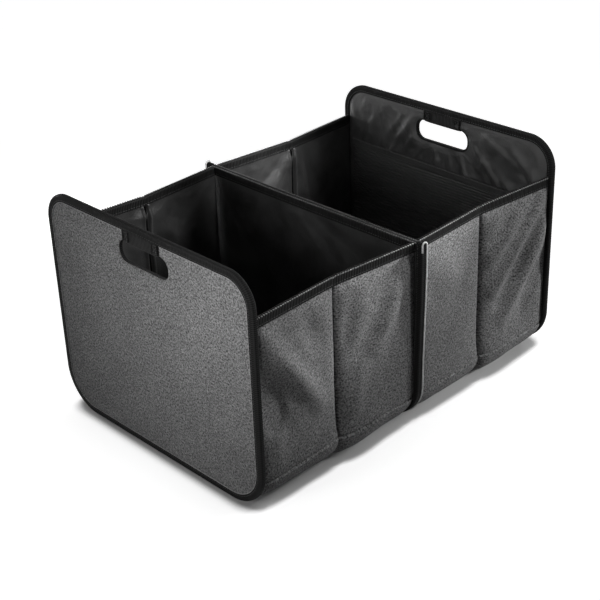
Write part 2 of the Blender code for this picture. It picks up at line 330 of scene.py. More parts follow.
@dataclass(frozen=True)
class TapeSection:
    """Folded tape's U section, which opens inwards over the edge that it binds.

    Attributes:
        leg: Depth of its two legs.
        half: Half its width over both legs.
        thickness: Thickness of the tape.
        corner: Radius of its two folds.
        bead: Height of a cord sewn into each fold, 0 for none.
        seam: Distance of its stitches from the legs' ends.
    """

    leg: float
    half: float
    thickness: float
    corner: float
    bead: float = 0.0
    seam: float = 0.0022

    def outer_half(self) -> list[Flat]:
        """Points (depth, across) of the outer face, from a leg's end to the fold's middle.

        Returns:
            The points on the side where across is positive.
        """
        sunk = self.thickness * 0.22
        points = [
            (self.leg, self.half - self.thickness * 0.75),
            (self.leg - self.thickness * 0.25, self.half - sunk * 0.6),
            (self.leg - self.seam * 0.55, self.half),
            (self.leg - self.seam * 0.85, self.half - sunk * 0.5),
            (self.leg - self.seam, self.half - sunk),
            (self.leg - self.seam * 1.15, self.half - sunk * 0.5),
            (self.leg - self.seam * 1.5, self.half),
            (self.corner + (self.leg - self.corner) * 0.4, self.half + sunk * 0.3),
        ]
        steps = 7
        for step in range(steps + 1):
            turn = math.pi / 2 * step / steps
            bump = self.bead * math.exp(-((step - steps * 0.5) / 1.3) ** 2)
            reach = self.corner + bump
            points.append(
                (
                    self.corner - reach * math.sin(turn),
                    self.half - self.corner + reach * math.cos(turn),
                )
            )
        dip = self.bead * 0.5
        points.append((dip, (self.half - self.corner) * 0.5))
        return points

    @property
    def folds(self) -> tuple[int, int]:
        """Points of the ring in the middle of its two folds."""
        return FOLD_POINT, 2 * len(self.outer_half()) - FOLD_POINT

    def ring(self) -> list[Flat]:
        """Points (depth, across) right round the section.

        Returns:
            The points, the outer face first and then the inner face.
        """
        half = self.outer_half()
        middle = [(self.bead * 0.5, 0.0)]
        outer = half + middle + [(depth, -across) for depth, across in reversed(half)]
        inner_half = self.half - self.thickness
        soft = min(self.corner, inner_half) * 0.6
        inside = [
            (self.leg, inner_half),
            (self.thickness + soft, inner_half),
            (self.thickness, inner_half - soft),
        ]
        back = [(depth, -across) for depth, across in inside]
        return outer + back + list(reversed(inside))


class Piece:
    """Mesh of one piece, gathered from its parts, which becomes an object at the origin."""

    def __init__(self, name: str, looks: "Wardrobe") -> None:
        """Start an empty piece.

        Args:
            name: Name of the piece.
            looks: The finishes.
        """
        self.name = name
        self.whipping_highlight = looks.whipping_highlight
        self.bm = bmesh.new()
        self.bm.loops.layers.uv.new(CLOTH_UV)
        self.finishes: list[Material] = []

    def take(self, part: bmesh.types.BMesh, finish: Material) -> None:
        """Add a finished closed part.

        Args:
            part: The part, which is freed.
            finish: Its material.
        """
        if finish not in self.finishes:
            self.finishes.append(finish)
        slot = self.finishes.index(finish)
        bmesh.ops.recalc_face_normals(part, faces=part.faces)
        for face in part.faces:
            face.smooth = True
            face.material_index = slot
        for edge in part.edges:
            if len(edge.link_faces) == 2 and edge.calc_face_angle(0.0) > SHARP_EDGE:
                edge.smooth = False
        mesh = bpy.data.meshes.new("part")
        part.to_mesh(mesh)
        part.free()
        self.bm.from_mesh(mesh)
        bpy.data.meshes.remove(mesh)

    def grid(self, place: Placer, along: int, across: int) -> bmesh.types.BMesh:
        """Grid of faces whose points a function places.

        Args:
            place: Gives a point and its place on the flat cloth from two shares.
            along: Steps of the first share.
            across: Steps of the second share.

        Returns:
            The new bmesh.
        """
        part = bmesh.new()
        layer = part.loops.layers.uv.new(CLOTH_UV)
        bmesh.ops.create_grid(part, x_segments=along, y_segments=across, size=0.5)
        flats = {}
        for vert in part.verts:
            vert.co, flats[vert] = place(vert.co.x + 0.5, vert.co.y + 0.5)
        for face in part.faces:
            for loop in face.loops:
                loop[layer].uv = flats[loop.vert]
        return part

    def add_sheet(
        self,
        place: Placer,
        steps: tuple[int, int],
        facing: Vector,
        thickness: float,
        finish: Material,
        close: Close = Close.NONE,
    ) -> None:
        """Add a sheet of cloth as a thin closed shell.

        Args:
            place: Places a point of the shown face from two shares.
            steps: Grid steps of the two shares.
            facing: Direction that the shown face looks in at the first corner.
            thickness: Thickness behind the shown face.
            finish: Material of the sheet.
            close: Whether the first share runs back into itself.
        """
        part = self.grid(place, *steps)
        if close is Close.LOOP:
            bmesh.ops.remove_doubles(part, verts=part.verts, dist=JOIN_DISTANCE)
        part.normal_update()
        part.faces.ensure_lookup_table()
        if part.faces[0].normal.dot(facing) < 0.0:
            bmesh.ops.reverse_faces(part, faces=part.faces)
            part.normal_update()
        bmesh.ops.solidify(part, geom=part.faces[:], thickness=thickness)
        self.take(part, finish)

    def add_tape(
        self,
        section: Sequence[Flat],
        rail: Rail,
        length: float,
        steps: int,
        finish: Material,
        close: Close = Close.NONE,
        folds: Sequence[int] = (0,),
    ) -> None:
        """Add a tape of a closed section that runs along a rail.

        Args:
            section: Points (depth, across) round the section.
            rail: Gives the edge's point, the inward and the across direction at a share.
            length: Length of the rail, for the pattern.
            steps: Grid steps along the rail.
            finish: Material of the tape.
            close: Whether the rail runs back into itself.
            folds: Points of the section from which the pattern is measured across.
        """
        count = len(section)
        rounds = [0.0]
        for index in range(count):
            near, far = section[index], section[(index + 1) % count]
            rounds.append(rounds[-1] + math.hypot(far[0] - near[0], far[1] - near[1]))
        whole = rounds[-1]
        gaps = [
            min(min(abs(here - rounds[fold]), whole - abs(here - rounds[fold])) for fold in folds)
            for here in rounds
        ]

        def place(share: float, turn: float) -> Placed:
            """Place a point from its shares along the rail and round the section."""
            index = round(turn * count)
            depth, across = section[index % count]
            edge, inward, aside = rail(share)
            return edge + inward * depth + aside * across, (share * length, gaps[index])

        part = self.grid(place, steps, count)
        bmesh.ops.remove_doubles(part, verts=part.verts, dist=JOIN_DISTANCE)
        if close is Close.NONE:
            ends = [edge for edge in part.edges if edge.is_boundary]
            bmesh.ops.holes_fill(part, edges=ends, sides=0)
        self.take(part, finish)

    def add_cord(
        self,
        rail: Rail,
        length: float,
        radius: float,
        steps: int,
        finish: Material,
        close: Close = Close.NONE,
    ) -> None:
        """Add a round cord along a rail.

        Args:
            rail: Gives the centre and two directions across the cord at a share.
            length: Length of the rail, for the pattern.
            radius: Radius of the cord.
            steps: Grid steps along the rail.
            finish: Material of the cord.
            close: Whether the rail runs back into itself.
        """
        ring = [
            (radius * math.cos(turn * math.pi / 4), radius * math.sin(turn * math.pi / 4))
            for turn in range(8)
        ]
        self.add_tape(ring, rail, length, steps, finish, close)

    def add_whipping(
        self,
        rail: Rail,
        length: float,
        aside_by: float,
        finish: Material | None = None,
    ) -> None:
        """Whip thread over one fold of a tape; by default it is pale, partly a painted highlight
        of the fold.

        Args:
            rail: Gives the edge's point, the inward and the across direction at a share.
            length: Length of the rail.
            aside_by: Distance of the fold from the middle of the tape, signed.
            finish: Material of the thread; the pale one, partly a painted highlight, if it is not
                given.
        """
        way = 1.0 if aside_by > 0.0 else -1.0

        def seam(distance: float) -> Pair:
            """Place and outward direction along the fold."""
            edge, inward, aside = rail(distance / length)
            out = (aside * way - inward).normalized()
            return edge + inward * 0.0004 + aside * aside_by + out * 0.0001, out

        self.add_stitches(seam, length, finish or self.whipping_highlight, 0.0035, (0.0031, 0.0015))

    def add_binding(
        self,
        section: TapeSection,
        rail: Rail,
        length: float,
        steps: int,
        finish: Material,
        close: Close = Close.NONE,
    ) -> None:
        """Add a folded binding tape along a rail, its pattern measured from its two folds."""
        self.add_tape(section.ring(), rail, length, steps, finish, close, section.folds)

    def add_tape_rows(
        self, rail: Rail, length: float, depth: float, half: float, finish: Material
    ) -> None:
        """Sew a row of stitches along both faces of a tape.

        Args:
            rail: Gives the edge's point, the inward and the across direction at a share.
            length: Length of the rail.
            depth: Distance of the rows from the edge.
            half: Distance of the rows from the middle of the tape.
            finish: Material of the thread.
        """
        for way in (-1, 1):

            def seam(distance: float, way=way) -> Pair:
                """Place and outward direction along the row."""
                edge, inward, aside = rail(distance / length)
                return edge + inward * depth + aside * (way * half), aside * way

            self.add_stitches(seam, length, finish)

    def add_stitches(
        self,
        seam: Seam,
        length: float,
        finish: Material,
        pitch: float = STITCH_PITCH,
        size: Flat = (0.0028, 0.00062),
    ) -> None:
        """Add a row of stitches that lie half sunk in the cloth.

        Args:
            seam: Gives a point and the cloth's outward direction at a distance.
            length: Length of the row.
            finish: Material of the thread.
            pitch: Distance between the stitches.
            size: Length and thickness of one stitch.
        """
        part = bmesh.new()
        part.loops.layers.uv.new(CLOTH_UV)
        single = bmesh.new()
        bmesh.ops.create_uvsphere(single, u_segments=6, v_segments=4, radius=0.5)
        plain = bpy.data.meshes.new("stitch")
        single.to_mesh(plain)
        single.free()
        count = max(1, int(length / pitch))
        for index in range(count):
            middle = (index + 0.5) * length / count
            near, _ = seam(middle - pitch * 0.2)
            far, _ = seam(middle + pitch * 0.2)
            spot, out = seam(middle)
            run = (far - near).normalized()
            aside = out.cross(run).normalized()
            turned = Matrix((run * size[0], aside * size[1], out * size[1])).transposed()
            stitch = plain.copy()
            stitch.transform(Matrix.Translation(spot) @ turned.to_4x4())
            part.from_mesh(stitch)
            bpy.data.meshes.remove(stitch)
        bpy.data.meshes.remove(plain)
        self.take(part, finish)

    def done(self) -> Thing:
        """Make the object.

        Returns:
            The piece's object, at the origin.
        """
        mesh = bpy.data.meshes.new(self.name)
        self.bm.to_mesh(mesh)
        self.bm.free()
        for finish in self.finishes:
            mesh.materials.append(finish)
        piece = bpy.data.objects.new(self.name, mesh)
        bpy.context.scene.collection.objects.link(piece)
        LOG.info("%s: %d faces", self.name, len(mesh.polygons))
        return piece


class Nodes:
    """Short way to lay out a shader's nodes."""

    def __init__(self, tree: bpy.types.NodeTree) -> None:
        """Work on one node tree.

        Args:
            tree: Tree of a material, group or world.
        """
        self.tree = tree

    def add(self, kind: str, **settings) -> Node:
        """Add a node.

        Args:
            kind: Blender's name of the node type.
            **settings: Properties of the node.

        Returns:
            The node.
        """
        node = self.tree.nodes.new(kind)
        for key, value in settings.items():
            setattr(node, key, value)
        return node

    def feed(self, socket: Socket, value) -> None:
        """Link a socket, or set its value.

        Args:
            socket: Input socket.
            value: Output socket or plain value.
        """
        if isinstance(value, Socket):
            self.tree.links.new(value, socket)
        else:
            socket.default_value = value

    def math(self, operation: str, *values, clamp: bool = False) -> Socket:
        """Add a Math node.

        Args:
            operation: Its operation.
            *values: Its inputs.
            clamp: Whether it keeps its result from 0 to 1.

        Returns:
            Its result.
        """
        node = self.add("ShaderNodeMath", operation=operation, use_clamp=clamp)
        for socket, value in zip(node.inputs, values):
            self.feed(socket, value)
        return node.outputs[0]

    def mix(self, share, low, high) -> Socket:
        """Blend two colours.

        Args:
            share: Share of the second colour.
            low: First colour.
            high: Second colour.

        Returns:
            The blended colour.
        """
        node = self.add("ShaderNodeMix", data_type="RGBA")
        self.feed(node.inputs["Factor"], share)
        self.feed(node.inputs[6], low)
        self.feed(node.inputs[7], high)
        return node.outputs[2]

    def stretch(self, place, scale: Sequence[float]) -> Socket:
        """Scale a place by its own amount along each axis.

        Args:
            place: Vector socket.
            scale: Amounts along X, Y and Z.

        Returns:
            The scaled place.
        """
        node = self.add("ShaderNodeVectorMath", operation="MULTIPLY")
        self.feed(node.inputs[0], place)
        node.inputs[1].default_value = scale
        return node.outputs[0]

    def noise(self, place, detail: float = 2.0, rough: float = 0.5) -> Socket:
        """Add a Noise texture at scale 1.

        Args:
            place: Vector socket, already scaled.
            detail: Number of finer layers.
            rough: Strength of the finer layers.

        Returns:
            Its value.
        """
        node = self.add("ShaderNodeTexNoise", noise_dimensions="3D")
        self.feed(node.inputs["Vector"], place)
        node.inputs["Scale"].default_value = 1.0
        node.inputs["Detail"].default_value = detail
        node.inputs["Roughness"].default_value = rough
        return node.outputs[0]

    def seen(self) -> Socket:
        """1 on the rays that show the white studio itself, 0 on those that light the box."""
        path = self.add("ShaderNodeLightPath")
        seen = self.math("MAXIMUM", path.outputs["Is Camera Ray"], path.outputs["Is Glossy Ray"])
        return self.math("MAXIMUM", seen, path.outputs["Is Transmission Ray"])

    def spread(
        self, value, low: float, high: float, to_low: float = 0.0, to_high: float = 1.0
    ) -> Socket:
        """Stretch a range of values to another, clamped.

        Args:
            value: Value socket.
            low: Lower end of the range.
            high: Upper end of the range.
            to_low: Result at low.
            to_high: Result at high.

        Returns:
            The stretched value.
        """
        node = self.add("ShaderNodeMapRange", clamp=True)
        for socket, item in zip(node.inputs, (value, low, high, to_low, to_high)):
            self.feed(socket, item)
        return node.outputs[0]


def new_group(
    name: str, inputs: dict[str, str], outputs: dict[str, str]
) -> tuple[bpy.types.NodeTree, "Nodes", Node, Node]:
    """Start a shader node group.

    Args:
        name: Name of the group.
        inputs: Socket types by input name.
        outputs: Socket types by output name.

    Returns:
        The group, its node helper, its input node and its output node.
    """
    group = bpy.data.node_groups.new(name, "ShaderNodeTree")
    for key, kind in inputs.items():
        group.interface.new_socket(key, in_out="INPUT", socket_type=kind)
    for key, kind in outputs.items():
        group.interface.new_socket(key, in_out="OUTPUT", socket_type=kind)
    nodes = Nodes(group)
    return group, nodes, nodes.add("NodeGroupInput"), nodes.add("NodeGroupOutput")


def plain_weave() -> bpy.types.NodeTree:
    """Group that weaves threads over and under each other.

    Returns:
        The group, with the threads' height and which of the two lies on top.
    """
    group, nodes, given, result = new_group(
        "plain_weave",
        {"Place": "NodeSocketVector", "Threads": "NodeSocketFloat"},
        {"Height": "NodeSocketFloat", "Warp": "NodeSocketFloat"},
    )
    split = nodes.add("ShaderNodeSeparateXYZ")
    nodes.feed(split.inputs[0], given.outputs["Place"])
    waves = []
    for axis in range(2):
        turn = nodes.math("MULTIPLY", split.outputs[axis], given.outputs["Threads"])
        waves.append(nodes.math("COSINE", nodes.math("MULTIPLY", turn, math.pi)))
    over = nodes.math("MULTIPLY_ADD", nodes.math("MULTIPLY", *waves), 0.5, 0.5)
    warp = nodes.math("MULTIPLY", nodes.math("POWER", waves[0], 2.0), over)
    under = nodes.math("SUBTRACT", 1.0, over)
    weft = nodes.math("MULTIPLY", nodes.math("POWER", waves[1], 2.0), under)
    nodes.feed(result.inputs["Height"], nodes.math("MAXIMUM", warp, weft))
    nodes.feed(result.inputs["Warp"], over)
    return group


def yarn_mottle() -> bpy.types.NodeTree:
    """Group for yarns spun from light and dark fibres.

    Returns:
        The group, with the mottle of both thread directions, from 0 to 1.
    """
    group, nodes, given, result = new_group(
        "yarn_mottle",
        {"Place": "NodeSocketVector", "Length": "NodeSocketFloat"},
        {"Mottle": "NodeSocketFloat"},
    )
    scale = nodes.math("DIVIDE", 1.0, given.outputs["Length"])
    size = nodes.add("ShaderNodeVectorMath", operation="SCALE")
    nodes.feed(size.inputs[0], given.outputs["Place"])
    nodes.feed(size.inputs["Scale"], scale)
    warp = nodes.noise(nodes.stretch(size.outputs[0], (3.6, 1.0, 1.0)), 2.0, 0.6)
    weft = nodes.noise(nodes.stretch(size.outputs[0], (1.0, 3.6, 2.0)), 2.0, 0.6)
    fleck = nodes.noise(nodes.stretch(size.outputs[0], (1.6, 1.6, 1.6)), 1.0, 0.5)
    pair = nodes.math("ADD", warp, weft)
    whole = nodes.math("MULTIPLY_ADD", fleck, 1.2, pair)
    nodes.feed(result.inputs["Mottle"], nodes.spread(whole, 1.26, 1.94))
    return group


def uneven_patches() -> bpy.types.NodeTree:
    """Group for broad patches that handling and dye leave on cloth.

    Returns:
        The group, with a value from 0 to 1.
    """
    group, nodes, given, result = new_group(
        "uneven_patches",
        {"Place": "NodeSocketVector", "Size": "NodeSocketFloat"},
        {"Patch": "NodeSocketFloat"},
    )
    size = nodes.add("ShaderNodeVectorMath", operation="SCALE")
    nodes.feed(size.inputs[0], given.outputs["Place"])
    nodes.feed(size.inputs["Scale"], nodes.math("DIVIDE", 1.0, given.outputs["Size"]))
    nodes.feed(result.inputs["Patch"], nodes.spread(nodes.noise(size.outputs[0]), 0.3, 0.7))
    return group


def cross_ribs() -> bpy.types.NodeTree:
    """Group for the ribs that run across a woven tape.

    Returns:
        The group, with the ribs' height, the fine threads on them and a mask at the folds for a
        painted highlight.
    """
    group, nodes, given, result = new_group(
        "cross_ribs",
        {"Place": "NodeSocketVector", "Ribs": "NodeSocketFloat"},
        {
            "Height": "NodeSocketFloat",
            "Thread": "NodeSocketFloat",
            "Worn fold": "NodeSocketFloat",
        },
    )
    split = nodes.add("ShaderNodeSeparateXYZ")
    nodes.feed(split.inputs[0], given.outputs["Place"])
    # Mask that is 1 at the folds, where a highlight is painted in.
    highlight_mask = nodes.spread(split.outputs[1], 0.0004, 0.0016, 1.0, 0.0)
    nodes.feed(result.inputs["Worn fold"], highlight_mask)
    drift = nodes.noise(nodes.stretch(given.outputs["Place"], (160.0, 160.0, 1.0)))
    along = nodes.math("MULTIPLY", split.outputs[0], given.outputs["Ribs"])
    along = nodes.math("MULTIPLY_ADD", drift, 0.35, along)
    wave = nodes.math("COSINE", nodes.math("MULTIPLY", along, 2.0 * math.pi))
    across = nodes.math("MULTIPLY", split.outputs[1], given.outputs["Ribs"])
    thread = nodes.math("COSINE", nodes.math("MULTIPLY", across, 4.4 * math.pi))
    nodes.feed(result.inputs["Height"], nodes.math("MULTIPLY_ADD", wave, 0.5, 0.5))
    nodes.feed(result.inputs["Thread"], nodes.math("MULTIPLY_ADD", thread, 0.5, 0.5))
    return group


class SharedEffects:
    """Node groups that several finishes use."""

    def __init__(self) -> None:
        """Build each group once."""
        self.weave = plain_weave()
        self.mottle = yarn_mottle()
        self.patches = uneven_patches()
        self.ribs = cross_ribs()


@dataclass(frozen=True)
class Finish:
    """A material's name and the values that are the same all over it.

    Attributes:
        name: Name of the material.
        dark: Its darker colour.
        light: Its lighter colour.
        roughness: Least and greatest roughness.
        sheen: Weight of the fibres' sheen.
        specular: Level of the surface's reflection.
        relief: Distance of its bump.
        fold_highlight: How much lighter its folds are painted, a painted highlight along them.
        ribs: Ribs to the metre, on a ribbed tape.
    """

    name: str
    dark: Three
    light: Three
    roughness: Flat
    sheen: float = 0.0
    specular: float = 0.5
    relief: float = 0.0002
    fold_highlight: float = 0.0
    ribs: float = 0.0

    def material(self, effects: SharedEffects) -> Material:
        """Make the material.

        Args:
            effects: The shared node groups.

        Returns:
            The material.
        """
        material, nodes, shader = self.start()
        self.lay_out(nodes, shader, effects)
        return material

    def start(self) -> tuple[Material, Nodes, Node]:
        """Make the material with its plain values.

        Returns:
            The material, its node helper and its shader.
        """
        material = bpy.data.materials.new(self.name)
        material.use_nodes = True
        shader = material.node_tree.nodes["Principled BSDF"]
        shader.inputs["Metallic"].default_value = 0.0
        shader.inputs["Sheen Weight"].default_value = self.sheen
        shader.inputs["Sheen Roughness"].default_value = 0.45
        shader.inputs["Specular IOR Level"].default_value = self.specular
        return material, Nodes(material.node_tree), shader

    def cloth_place(self, nodes: Nodes) -> Socket:
        """Place on the flat cloth, in metres.

        Args:
            nodes: Node helper of the material.

        Returns:
            The vector socket.
        """
        return nodes.add("ShaderNodeUVMap", uv_map=CLOTH_UV).outputs[0]

    def group(self, nodes: Nodes, tree: bpy.types.NodeTree, place, amount: float) -> Node:
        """Place a shared effect.

        Args:
            nodes: Node helper of the material.
            tree: The shared group.
            place: Vector socket.
            amount: Value of the group's second input.

        Returns:
            The group node.
        """
        node = nodes.add("ShaderNodeGroup", node_tree=tree)
        nodes.feed(node.inputs[0], place)
        node.inputs[1].default_value = amount
        return node

    def bump(self, nodes: Nodes, shader: Node, height, strength: float) -> None:
        """Lead a height to the shader's normal.

        Args:
            nodes: Node helper of the material.
            shader: The shader.
            height: Height socket, from 0 to 1.
            strength: Strength of the bump.
        """
        node = nodes.add("ShaderNodeBump")
        node.inputs["Strength"].default_value = strength
        node.inputs["Distance"].default_value = self.relief
        nodes.feed(node.inputs["Height"], height)
        nodes.feed(shader.inputs["Normal"], node.outputs[0])

    def between(self, nodes: Nodes, share) -> Socket:
        """Colour at a share of the way from its darker to its lighter one."""
        return nodes.mix(share, (*self.dark, 1.0), (*self.light, 1.0))

    def paint(
        self, nodes: Nodes, shader: Node, base, dull, low: float = 0.0, high: float = 1.0
    ) -> None:
        """Lead a colour and a roughness to the shader.

        Args:
            nodes: Node helper of the material.
            shader: The shader.
            base: Colour socket.
            dull: Value socket that its roughness follows.
            low: Value at which it is least rough.
            high: Value at which it is roughest.
        """
        nodes.feed(shader.inputs["Base Color"], base)
        rough = nodes.spread(dull, low, high, *self.roughness)
        nodes.feed(shader.inputs["Roughness"], rough)


class GreyMelange(Finish):
    """Grey cloth woven from yarns of light and dark fibres."""

    def lay_out(self, nodes: Nodes, shader: Node, effects: SharedEffects) -> None:
        """Lay out the nodes.

        Args:
            nodes: Node helper of the material.
            shader: The shader.
            effects: The shared node groups.
        """
        place = self.cloth_place(nodes)
        yarn = self.group(nodes, effects.mottle, place, 0.0034)
        blotch = nodes.noise(nodes.stretch(place, (110.0, 90.0, 1.0)), 2.0, 0.5)
        weave = self.group(nodes, effects.weave, place, 1250.0)
        patch = self.group(nodes, effects.patches, place, 0.055)
        base = self.between(nodes, yarn.outputs[0])
        shade = nodes.math("MULTIPLY_ADD", weave.outputs["Height"], 0.30, 0.76)
        shade = nodes.math("MULTIPLY", shade, nodes.spread(patch.outputs[0], 0, 1, 0.9, 1.08))
        shade = nodes.math("MULTIPLY", shade, nodes.spread(blotch, 0.3, 0.7, 0.86, 1.12))
        toned = nodes.add("ShaderNodeVectorMath", operation="SCALE")
        nodes.feed(toned.inputs[0], base)
        nodes.feed(toned.inputs["Scale"], shade)
        self.paint(nodes, shader, toned.outputs[0], yarn.outputs[0])
        height = nodes.math("MULTIPLY_ADD", yarn.outputs[0], 0.8, weave.outputs["Height"])
        self.bump(nodes, shader, height, 0.55)


class SatinLining(Finish):
    """Thin black nylon with a soft shine and fine crumples."""

    def lay_out(self, nodes: Nodes, shader: Node, effects: SharedEffects) -> None:
        """Lay out the nodes.

        Args:
            nodes: Node helper of the material.
            shader: The shader.
            effects: The shared node groups.
        """
        place = self.cloth_place(nodes)
        weave = self.group(nodes, effects.weave, place, 2400.0)
        patch = self.group(nodes, effects.patches, place, 0.030)
        tone = nodes.math("MULTIPLY_ADD", weave.outputs["Height"], 0.5, patch.outputs[0])
        tone = nodes.spread(tone, 0.2, 1.3)
        self.paint(nodes, shader, self.between(nodes, tone), patch.outputs[0])
        crumple = nodes.noise(nodes.stretch(place, (95.0, 95.0, 1.0)), 3.0, 0.45)
        height = nodes.math("MULTIPLY_ADD", weave.outputs["Height"], 0.12, crumple)
        self.bump(nodes, shader, height, 0.5)


class RibbedTape(Finish):
    """Woven binding tape with ribs across it, whose crests are painted lighter and grooves darker,
    a painted highlight and shade.
    """

    def lay_out(self, nodes: Nodes, shader: Node, effects: SharedEffects) -> None:
        """Lay out the nodes.

        Args:
            nodes: Node helper of the material.
            shader: The shader.
            effects: The shared node groups.
        """
        place = self.cloth_place(nodes)
        rib = self.group(nodes, effects.ribs, place, self.ribs)
        patch = self.group(nodes, effects.patches, place, 0.018)
        # Painted highlight and shade: the ribs' crests are lighter in colour and the grooves
        # between them darker.
        rib_light_and_shade = nodes.math("POWER", rib.outputs["Height"], 2.3)
        tone = nodes.math("MULTIPLY_ADD", rib.outputs["Thread"], 0.35, 0.55)
        tone = nodes.math("MULTIPLY", tone, rib_light_and_shade)
        tone = nodes.math("MULTIPLY_ADD", patch.outputs[0], 0.15, tone)
        # Painted highlight: the folds are lighter in colour, as if lit.
        tone = nodes.math("MULTIPLY_ADD", rib.outputs["Worn fold"], self.fold_highlight, tone)
        tone = nodes.spread(tone, 0.05, 2.0)
        self.paint(nodes, shader, self.between(nodes, tone), patch.outputs[0])
        height = nodes.math(
            "MULTIPLY_ADD", rib.outputs["Thread"], 0.25, rib.outputs["Height"]
        )
        self.bump(nodes, shader, height, 0.7)


class SewingThread(Finish):
    """Twisted polyester thread."""

    def lay_out(self, nodes: Nodes, shader: Node, effects: SharedEffects) -> None:
        """Lay out the nodes.

        Args:
            nodes: Node helper of the material.
            shader: The shader.
            effects: The shared node groups.
        """
        place = nodes.add("ShaderNodeTexCoord").outputs["Object"]
        patch = self.group(nodes, effects.patches, place, 0.002)
        base = self.between(nodes, patch.outputs[0])
        self.paint(nodes, shader, base, patch.outputs[0])


class GreyBoard(Finish):
    """Pressed grey board that stiffens the panels."""

    def lay_out(self, nodes: Nodes, shader: Node, effects: SharedEffects) -> None:
        """Lay out the nodes.

        Args:
            nodes: Node helper of the material.
            shader: The shader.
            effects: The shared node groups.
        """
        place = nodes.add("ShaderNodeTexCoord").outputs["Object"]
        patch = self.group(nodes, effects.patches, place, 0.02)
        fibre = nodes.noise(nodes.stretch(place, (900.0, 900.0, 900.0)), 3.0, 0.6)
        tone = nodes.math("MULTIPLY_ADD", patch.outputs[0], 0.4, fibre)
        tone = nodes.spread(tone, 0.3, 1.0)
        self.paint(nodes, shader, self.between(nodes, tone), fibre, 0.3, 0.7)
        self.bump(nodes, shader, fibre, 0.4)


class Wardrobe:
    """Every finish of the box."""

    def __init__(self) -> None:
        """Make the materials."""
        effects = SharedEffects()
        self.melange = GreyMelange(
            "grey_melange", grey(0.026), (0.290, 0.290, 0.292), (0.88, 0.98), 0.03, 0.12
        ).material(effects)
        self.lining = SatinLining(
            "black_satin_lining", grey(0.007), grey(0.017), (0.38, 0.52),
            0.10, 0.35, 0.0010,
        ).material(effects)
        # The binding tape's folds carry a painted highlight.
        self.tape = RibbedTape(
            "black_binding_tape", grey(0.0012), grey(0.033), (0.6, 0.75),
            0.0, 0.05, 0.0006, 0.5, 430.0,
        ).material(effects)
        self.twine = SewingThread(
            "dark_whipping_thread", grey(0.035), grey(0.12), (0.6, 0.8), 0.0, 0.3
        ).material(effects)
        # Black cord that paints the shadow in the lining's crease.
        self.crease = SewingThread(
            "black_crease_seam", grey(0.0008), grey(0.002), (0.8, 0.95),
            0.0, 0.03,
        ).material(effects)
        self.webbing = RibbedTape(
            "black_webbing", grey(0.0012), grey(0.034), (0.55, 0.7),
            0.0, 0.08, 0.0006, 0.0, 420.0,
        ).material(effects)
        self.ribbed = RibbedTape(
            "black_ribbed_pocket", grey(0.003), grey(0.076), (0.5, 0.64),
            0.0, 0.30, 0.0003, 0.0, 500.0,
        ).material(effects)
        # Pale thread over the tapes' folds: real whipping whose light grey also paints the folds'
        # highlight.
        self.whipping_highlight = SewingThread(
            "grey_whipping_thread", grey(0.12), grey(0.34), (0.6, 0.8), 0.0, 0.3
        ).material(effects)
        # Pale cord that paints the highlight on the lit fold of the divider's seam.
        self.highlight_cord = SewingThread(
            "grey_piping", grey(0.32), grey(0.60), (0.6, 0.8), 0.0, 0.3
        ).material(effects)
        self.thread = SewingThread(
            "black_thread", grey(0.010), grey(0.050), (0.5, 0.6), 0.0, 0.3
        ).material(effects)
        self.board = GreyBoard(
            "grey_board", (0.20, 0.19, 0.175), (0.33, 0.32, 0.30), (0.8, 0.95), 0.0, 0.3
        ).material(effects)


